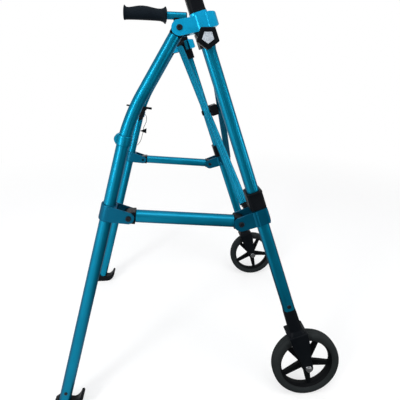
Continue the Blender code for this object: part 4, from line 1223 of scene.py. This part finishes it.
def rear_leg(word, side):
    middle = at(0, side * HALF_TRACK, 0)
    tube = drawn_along(REAR_LINE, TUBE_RADIUS, 48)
    here = tilted(FOOT_X + math.tan(REAR_TILT) * RING_UP, 0, RING_UP, REAR_TILT)
    ring = moved(turned([(0, -0.0100), (0.0140, -0.0100), (0.0149, -0.0094), (0.0152, -0.0085),
                         (0.0152, 0.0085), (0.0149, 0.0094), (0.0140, 0.0100), (0, 0.0100)], 64), here)
    ear = moved(drum(0.0110, -0.0075, 0.0075, 40, 0.0012), here @ at(-0.0080, 0, 0.0010) @ SIDEWAYS)
    made = grown(tube, ring, ear)
    settle(f"{word}_bent_leg", made, middle, TEAL, f"{word}_back_leg", [f"{word}_rear_leg"])

    # The black eye closes the tube's top end and turns on the bracket's bolt
    lean = math.atan2(REAR_DOWN.x, REAR_DOWN.z)
    view = arc(0, 0, TUBE_RADIUS, 180, 360, 32) + [(TUBE_RADIUS, EYE_REACH), (-TUBE_RADIUS, EYE_REACH)]
    eye = soften(prism(view, -TONGUE_HALF, TONGUE_HALF), 0.0012, 2, 60)
    eye = carved(eye, drum(BOLT_BORE, -THROUGH, THROUGH))
    place = tilted(REAR_HINGE.x, side * HALF_TRACK, REAR_HINGE.z, lean) @ SIDEWAYS
    settle(f"{word}_leg_eye", eye, place, BLACK, f"{word}_back_leg", [f"{word}_rear_leg_eye"])

    # A small screw through the foot of the tube
    x, lean = on_rear_leg(SCREW_UP)
    screw = domed_head(0.0036, 0.0012, 0.0013, 4)
    on_tube = at(0, side * (TUBE_RADIUS - 0.0003), 0) @ outward(side)
    place = tilted(x, side * HALF_TRACK, SCREW_UP, lean) @ on_tube
    settle(f"{word}_foot_screw", screw, place, DARK, f"{word}_back_leg")


# %% [markdown]
# Lower down a cast sleeve grips the rear leg and holds the side bar between two cheeks. It is a turned
# band joined to a side outline, with the slot cut between the cheeks.

# %% Rear sleeves
def rear_sleeve(word, side):
    r_x, r_z = leg_point(*REAR_BOLT)
    slope = Vector((-math.sin(REAR_TILT), 0, -math.cos(REAR_TILT)))
    from_foot = Vector((r_x - FOOT_X, 0, r_z))
    up_leg = from_foot.dot(-slope)
    reach = (from_foot + slope * up_leg).length
    middle = tilted(FOOT_X - slope.x * up_leg, side * HALF_TRACK, -slope.z * up_leg, REAR_TILT)
    tall = 0.0165
    side_view = (
        arc(reach, 0, 0.0118, -90, 90, 20)
        + [(0.012, tall - 0.001), (0, tall - 0.001), (0, -tall + 0.001), (0.012, -tall + 0.001)]
    )
    cheeks = soften(moved(prism(side_view, -0.0160, 0.0160), SIDEWAYS), 0.0012, 3, 45)
    band = turned([(0, -tall), (0.0146, -tall), (0.0155, -tall + 0.0008), (0.0158, -tall + 0.0020),
                   (0.0158, tall - 0.0020), (0.0155, tall - 0.0008), (0.0146, tall), (0, tall)], 64)
    made = grown(cheeks, band)
    slot = block((0.0162, -CHEEK_INSIDE, -0.03), (0.08, CHEEK_INSIDE, 0.03))
    bore = drum(TUBE_RADIUS + GAP, -0.03, 0.03, 64)
    hole = moved(drum(BOLT_BORE, -THROUGH, THROUGH), at(reach, 0, 0) @ SIDEWAYS)
    made = carved(made, slot, bore, hole)
    settle(f"{word}_cast_sleeve", made, middle, CAST, f"{word}_back_leg", [f"{word}_rear_sleeve"])

    stub = drum(0.0033, 0.0134, 0.0165, 32)
    head = moved(domed_head(0.0056, 0.0020, 0.0024), at(0, 0, 0.0160 + GAP))
    settle(f"{word}_sleeve_bolt", grown(stub, head), middle @ at(reach, 0, 0) @ outward(side), DARK,
           f"{word}_back_leg", [f"{word}_rear_clevis_bolt"])
    return r_x, r_z


# %% [markdown]
# The side bar is a straight round tube with a black tongue in each end. The front tongue turns on the
# sliding bracket's bolt, and the rear one between the sleeve's cheeks.

# %% Side bars
def side_bar(word, side, r_x, r_z):
    q_x, q_z = leg_point(*FRONT_BOLT)
    along = Vector((r_x - q_x, 0, r_z - q_z))
    place = tilted(q_x, side * HALF_TRACK, q_z, math.atan2(along.x, along.z))
    body = f"{word}_side_rail"
    bar = drum(TUBE_RADIUS, TUBE_START, along.length - TUBE_START, 48, 0.0006)
    settle(f"{word}_bright_side_bar", bar, place, TEAL, body, [f"{word}_side_bar"])
    view = arc(0, 0, 0.0115, 180, 360, 32) + [(0.0125, TUBE_START - GAP), (-0.0125, TUBE_START - GAP)]
    front = soften(prism(view, -TONGUE_HALF, TONGUE_HALF), 0.0012, 2, 60)
    front = carved(front, drum(BOLT_BORE, -THROUGH, THROUGH))
    settle(f"{word}_front_tongue", front, place @ SIDEWAYS, BLACK, body, [f"{word}_side_bar_front_eye"])
    back = soften(prism(view, -TONGUE_HALF, TONGUE_HALF), 0.0012, 2, 60)
    far = place @ at(0, 0, along.length) @ Matrix.Rotation(math.pi, 4, "Y") @ SIDEWAYS
    settle(f"{word}_rear_tongue", back, far, BLACK, body, [f"{word}_side_bar_rear_eye"])


# %% [markdown]
# Each rear leg stands on a black glide, a ski that turns up in front. It is one outline given width, with
# its edges rounded and a few shallow grooves across the sole.

# %% Glides
def glide(word, side):
    middle = math.tan(REAR_TILT) * REAR_TUBE_END
    seat = 0.0135
    drop = math.tan(REAR_TILT) * seat
    view = [
        (-FOOT_BACK_HALF, 0.0030), (-FOOT_BACK_HALF + 0.003, 0.0), (0.0190, 0.0), (0.0240, 0.0008),
        (0.0290, 0.0022), (0.0340, 0.0052), (0.0380, 0.0090), (0.0418, 0.0142), (0.0445, 0.0200),
        (0.0462, 0.0256), (0.0470, 0.0310), (0.0462, 0.0332), (0.0445, 0.0342), (0.0420, 0.0337),
        (0.0405, 0.0325), (0.0386, 0.0278), (0.0360, 0.0240), (0.0326, 0.0203), (0.0290, 0.0175),
        (0.0240, 0.0158), (middle + seat, REAR_TUBE_END - drop - 1.2 * GAP),
        (middle - seat, REAR_TUBE_END + drop - 1.2 * GAP), (-0.0165, 0.0180),
    ]
    shape = soften(moved(prism(view, -0.0120, 0.0120), SIDEWAYS), 0.0010, 2, 60)
    for i in range(5):
        x = -0.0120 + 0.0060 * i
        shape = carved(shape, block((x, -0.02, -0.01), (x + 0.0016, 0.02, 0.0009)))
    settle(f"{word}_ski_glide", shape, at(FOOT_X, side * HALF_TRACK, 0), BLACK, f"{word}_back_leg",
           [f"{word}_glide"])


for word, side in SIDES.items():
    rear_leg(word, side)
    rear_end = rear_sleeve(word, side)
    side_bar(word, side, *rear_end)
    glide(word, side)
print("rear parts made, pieces so far:", len(made_pieces))

# %% [markdown]
# Two bars cross between the front legs and fold like scissors. They are thin fluted tubes, with black
# eyes that turn on the clamps' pins, and they pass each other on a black block with a rivet through it.
# Fluting is easiest on the outline: the radius rises and falls as it goes round, and the outline is
# drawn to the bar's length. The ribs are round and the lines between them sharp, so each rib shines.

# %% Brace bars
FLUTES = 12


def fluted(radius, depth):
    loop = []
    for i in range(FLUTES * 12):
        angle = 2 * math.pi * i / (FLUTES * 12)
        dip = depth * (1 - abs(math.cos(FLUTES * angle / 2)))
        loop.append(((radius - dip) * math.cos(angle), (radius - dip) * math.sin(angle)))
    return loop


def brace(word, top_side, plane, body):
    pivot_y = HALF_TRACK - PIVOT_INBOARD
    middle = leg_frame(0)
    rise = HIGH_PIVOT - LOW_PIVOT
    run = 2 * pivot_y
    length = math.hypot(rise, run)
    ends = {
        "top": (top_side * pivot_y, HIGH_PIVOT, -top_side * run, -rise),
        "bottom": (-top_side * pivot_y, LOW_PIVOT, top_side * run, rise),
    }
    for end, (y, z, dy, dz) in ends.items():
        # Z points along the bar, away from this pin
        place = middle @ at(plane, y, z) @ Matrix.Rotation(-math.atan2(dy, dz), 4, "X")
        if end == "top":
            bar = prism(fluted(BAR_RADIUS, 0.0013), EYE_REACH + GAP, length - EYE_REACH - GAP)
            across = at(0, 0, length / 2) @ Matrix.Rotation(math.pi / 2, 4, "Y")
            hole = moved(drum(0.0040, -0.02, 0.02), across)
            settle(f"fluted_bar_{word}", carved(bar, hole), place, TEAL, body, [f"cross_bar_{word}"])
        view = arc(0, 0, 0.0088, 180, 360, 28) + [(0.0088, EYE_REACH), (-0.0088, EYE_REACH)]
        eye = soften(prism(view, -0.0051, 0.0051), 0.0009, 2, 60)
        collar = soften(block((-0.0091, EYE_REACH - 0.0030, -0.0062), (0.0091, EYE_REACH, 0.0062)), 0.0006, 2)
        eye = carved(grown(eye, collar), drum(0.0034, -0.02, 0.02))
        settle(f"bar_{word}_{end}_eye", eye, place @ FRONTWAYS, BLACK, body, [f"cross_bar_{word}_{end}_eye"])


brace("front", -1, BAR_PLANE, "front_brace")
brace("rear", 1, -BAR_PLANE, "rear_brace")

# %% Hub of the brace
hub_half = BAR_PLANE - BAR_RADIUS - 0.0004
hub_middle = leg_frame(0) @ at(0, 0, (HIGH_PIVOT + LOW_PIVOT) / 2)
hub = soften(block((-hub_half, -0.0150, -0.0140), (hub_half, 0.0150, 0.0140)), 0.0020, 3)
cap_start = BAR_PLANE + BAR_RADIUS + GAP
half_pin = [(0.0036, cap_start), (0.0070, cap_start), (0.0070, cap_start + 0.0012),
            (0.0062, cap_start + 0.0026), (0.0040, cap_start + 0.0034), (0, cap_start + 0.0036)]
rivet = turned([(r, -z) for r, z in reversed(half_pin)] + half_pin, 40)
hub = grown(hub, moved(rivet, Matrix.Rotation(math.pi / 2, 4, "Y")))
settle("brace_block", hub, hub_middle, BLACK, "front_brace", ["cross_hub"])
print("brace made, pieces so far:", len(made_pieces))

# %% [markdown]
# A small black clip sits on the left rear leg. It holds the folded frame together, and a thin cord with
# a pull tab releases it. The clip is a band with a finger in front, a short tail behind and a body on the
# inner side. The cord is a curve through the points of the solid's route, smoothed between them.

# %% Fold clip
CLIP_UP = 0.612
CORD_END_UP = 0.4865
CORD_SIDE = -0.0160
PIN_SLOPE = math.radians(9.5)
clip_x, clip_lean = on_rear_leg(CLIP_UP)
clip_place = tilted(clip_x, HALF_TRACK, CLIP_UP, clip_lean)
band = turned([(0, -0.0050), (0.0150, -0.0050), (0.0158, -0.0042), (0.0158, 0.0062), (0.0150, 0.0070),
               (0, 0.0070)], 64)
to_pin = clip_place.inverted() @ tilted(clip_x, HALF_TRACK, CLIP_UP, PIN_SLOPE)
finger = moved(soften(block((0.0135, -0.004, -0.0020), (0.0320, 0.004, 0.0052)), 0.0014, 3), to_pin)
tail = moved(soften(block((-0.0520, -0.003, -0.0012), (-0.0135, 0.003, 0.0038)), 0.0010, 2), to_pin)
clip_view = [(0.0000, -0.0430), (0.0035, -0.0440), (0.0136, -0.0330), (0.0138, -0.0210), (0.0135, -0.0090),
             (0.0132, 0.0020), (0.0040, 0.0020), (0.0010, -0.0110), (-0.0010, -0.0260)]
body = soften(prism(clip_view, -0.0025, 0.0025), 0.0007, 2, 20)
body = moved(body, at(0, CORD_SIDE, 0) @ SIDEWAYS)
clip = grown(band, finger, tail, body)
to_clip = clip_place.inverted()
left_line = [p + Vector((0, HALF_TRACK, 0)) for p in REAR_LINE]
leg_space = moved(drawn_along(left_line, TUBE_RADIUS + GAP, 48), to_clip)
ring_place = tilted(FOOT_X + math.tan(REAR_TILT) * RING_UP, HALF_TRACK, RING_UP, REAR_TILT)
ring_space = moved(drum(0.0152 + GAP, -0.0100 - GAP, 0.0100 + GAP, 64), to_clip @ ring_place)
clip = carved(clip, leg_space, ring_space)
settle("release_clip", clip, clip_place, BLACK, "left_back_leg", ["fold_clip"])

# %% Pull cord and tab
CORD_RADIUS = 0.0009


def hanging(share, forward, aside=CORD_SIDE):
    """A point in front of the leg, at a share of the height from the cord's end to the clip."""
    up = CORD_END_UP + share * (CLIP_UP - CORD_END_UP)
    return Vector((on_rear_leg(up)[0] + forward, HALF_TRACK + aside, up))


knots = [
    hanging(0.837, 0.0150), hanging(0.809, 0.0200), hanging(0.753, 0.0239), hanging(0.649, 0.0261),
    hanging(0.554, 0.0242), hanging(0.490, 0.0221), hanging(0.402, 0.0232), hanging(0.323, 0.0234),
    hanging(0.171, 0.0228), hanging(0.068, 0.0192, -0.0120), hanging(0.000, 0.0146, -0.0050),
]


def smooth_line(points, steps):
    """A line through every point, curved between them."""
    line = []
    padded = [points[0] * 2 - points[1], *points, points[-1] * 2 - points[-2]]
    for a, b, c, d in zip(padded, padded[1:], padded[2:], padded[3:]):
        for i in range(steps):
            t = i / steps
            line.append(0.5 * (2 * b + (c - a) * t + (2 * a - 5 * b + 4 * c - d) * t * t
                               + (3 * b - a - 3 * c + d) * t ** 3))
    return line + [points[-1]]


route = smooth_line(knots, 4)
line = bpy.data.curves.new("release_cord", "CURVE")
line.dimensions = "3D"
line.bevel_depth = CORD_RADIUS
line.bevel_resolution = 3
line.use_fill_caps = True
spline = line.splines.new("POLY")
spline.points.add(len(route) - 1)
for point, spot in zip(spline.points, route):
    point.co = (*spot, 1)
line.materials.append(CORD)
cord = bpy.data.objects.new("release_cord", line)
scene.collection.objects.link(cord)
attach(cord, "left_back_leg")
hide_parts("pull_cord")

tab = soften(prism([(0.0080, 0.0085), (0.0065, -0.0085), (-0.0140, 0.0004)], -0.0020, 0.0020), 0.0008, 2, 20)
tab_middle = hanging(0.398, 0.0266)
passage = moved(drawn_along([p - tab_middle for p in route[16:33]], CORD_RADIUS + 0.0003, 12),
                SIDEWAYS.inverted())
tab = carved(tab, passage)
pull_tab = settle("release_tab", tab, at(*tab_middle) @ SIDEWAYS, BLACK, "left_back_leg", ["pull_tab"])

# %% [markdown]
# Every solid now has a dressed piece in its place. The last cell compares the box round the whole dressed
# walker with the box of the solids, and prints how far each corner moved.

# %% Finish
bpy.context.view_layer.update()
shown = [node.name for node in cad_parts.values() if not node.hide_render]
print("solids still shown as they are:", shown)
dressed_box = [list(corner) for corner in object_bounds()]
for before, after in zip(solid_box, dressed_box):
    print("corner moved by, in millimetres:", [round(1000 * (b - a), 2) for a, b in zip(before, after)])
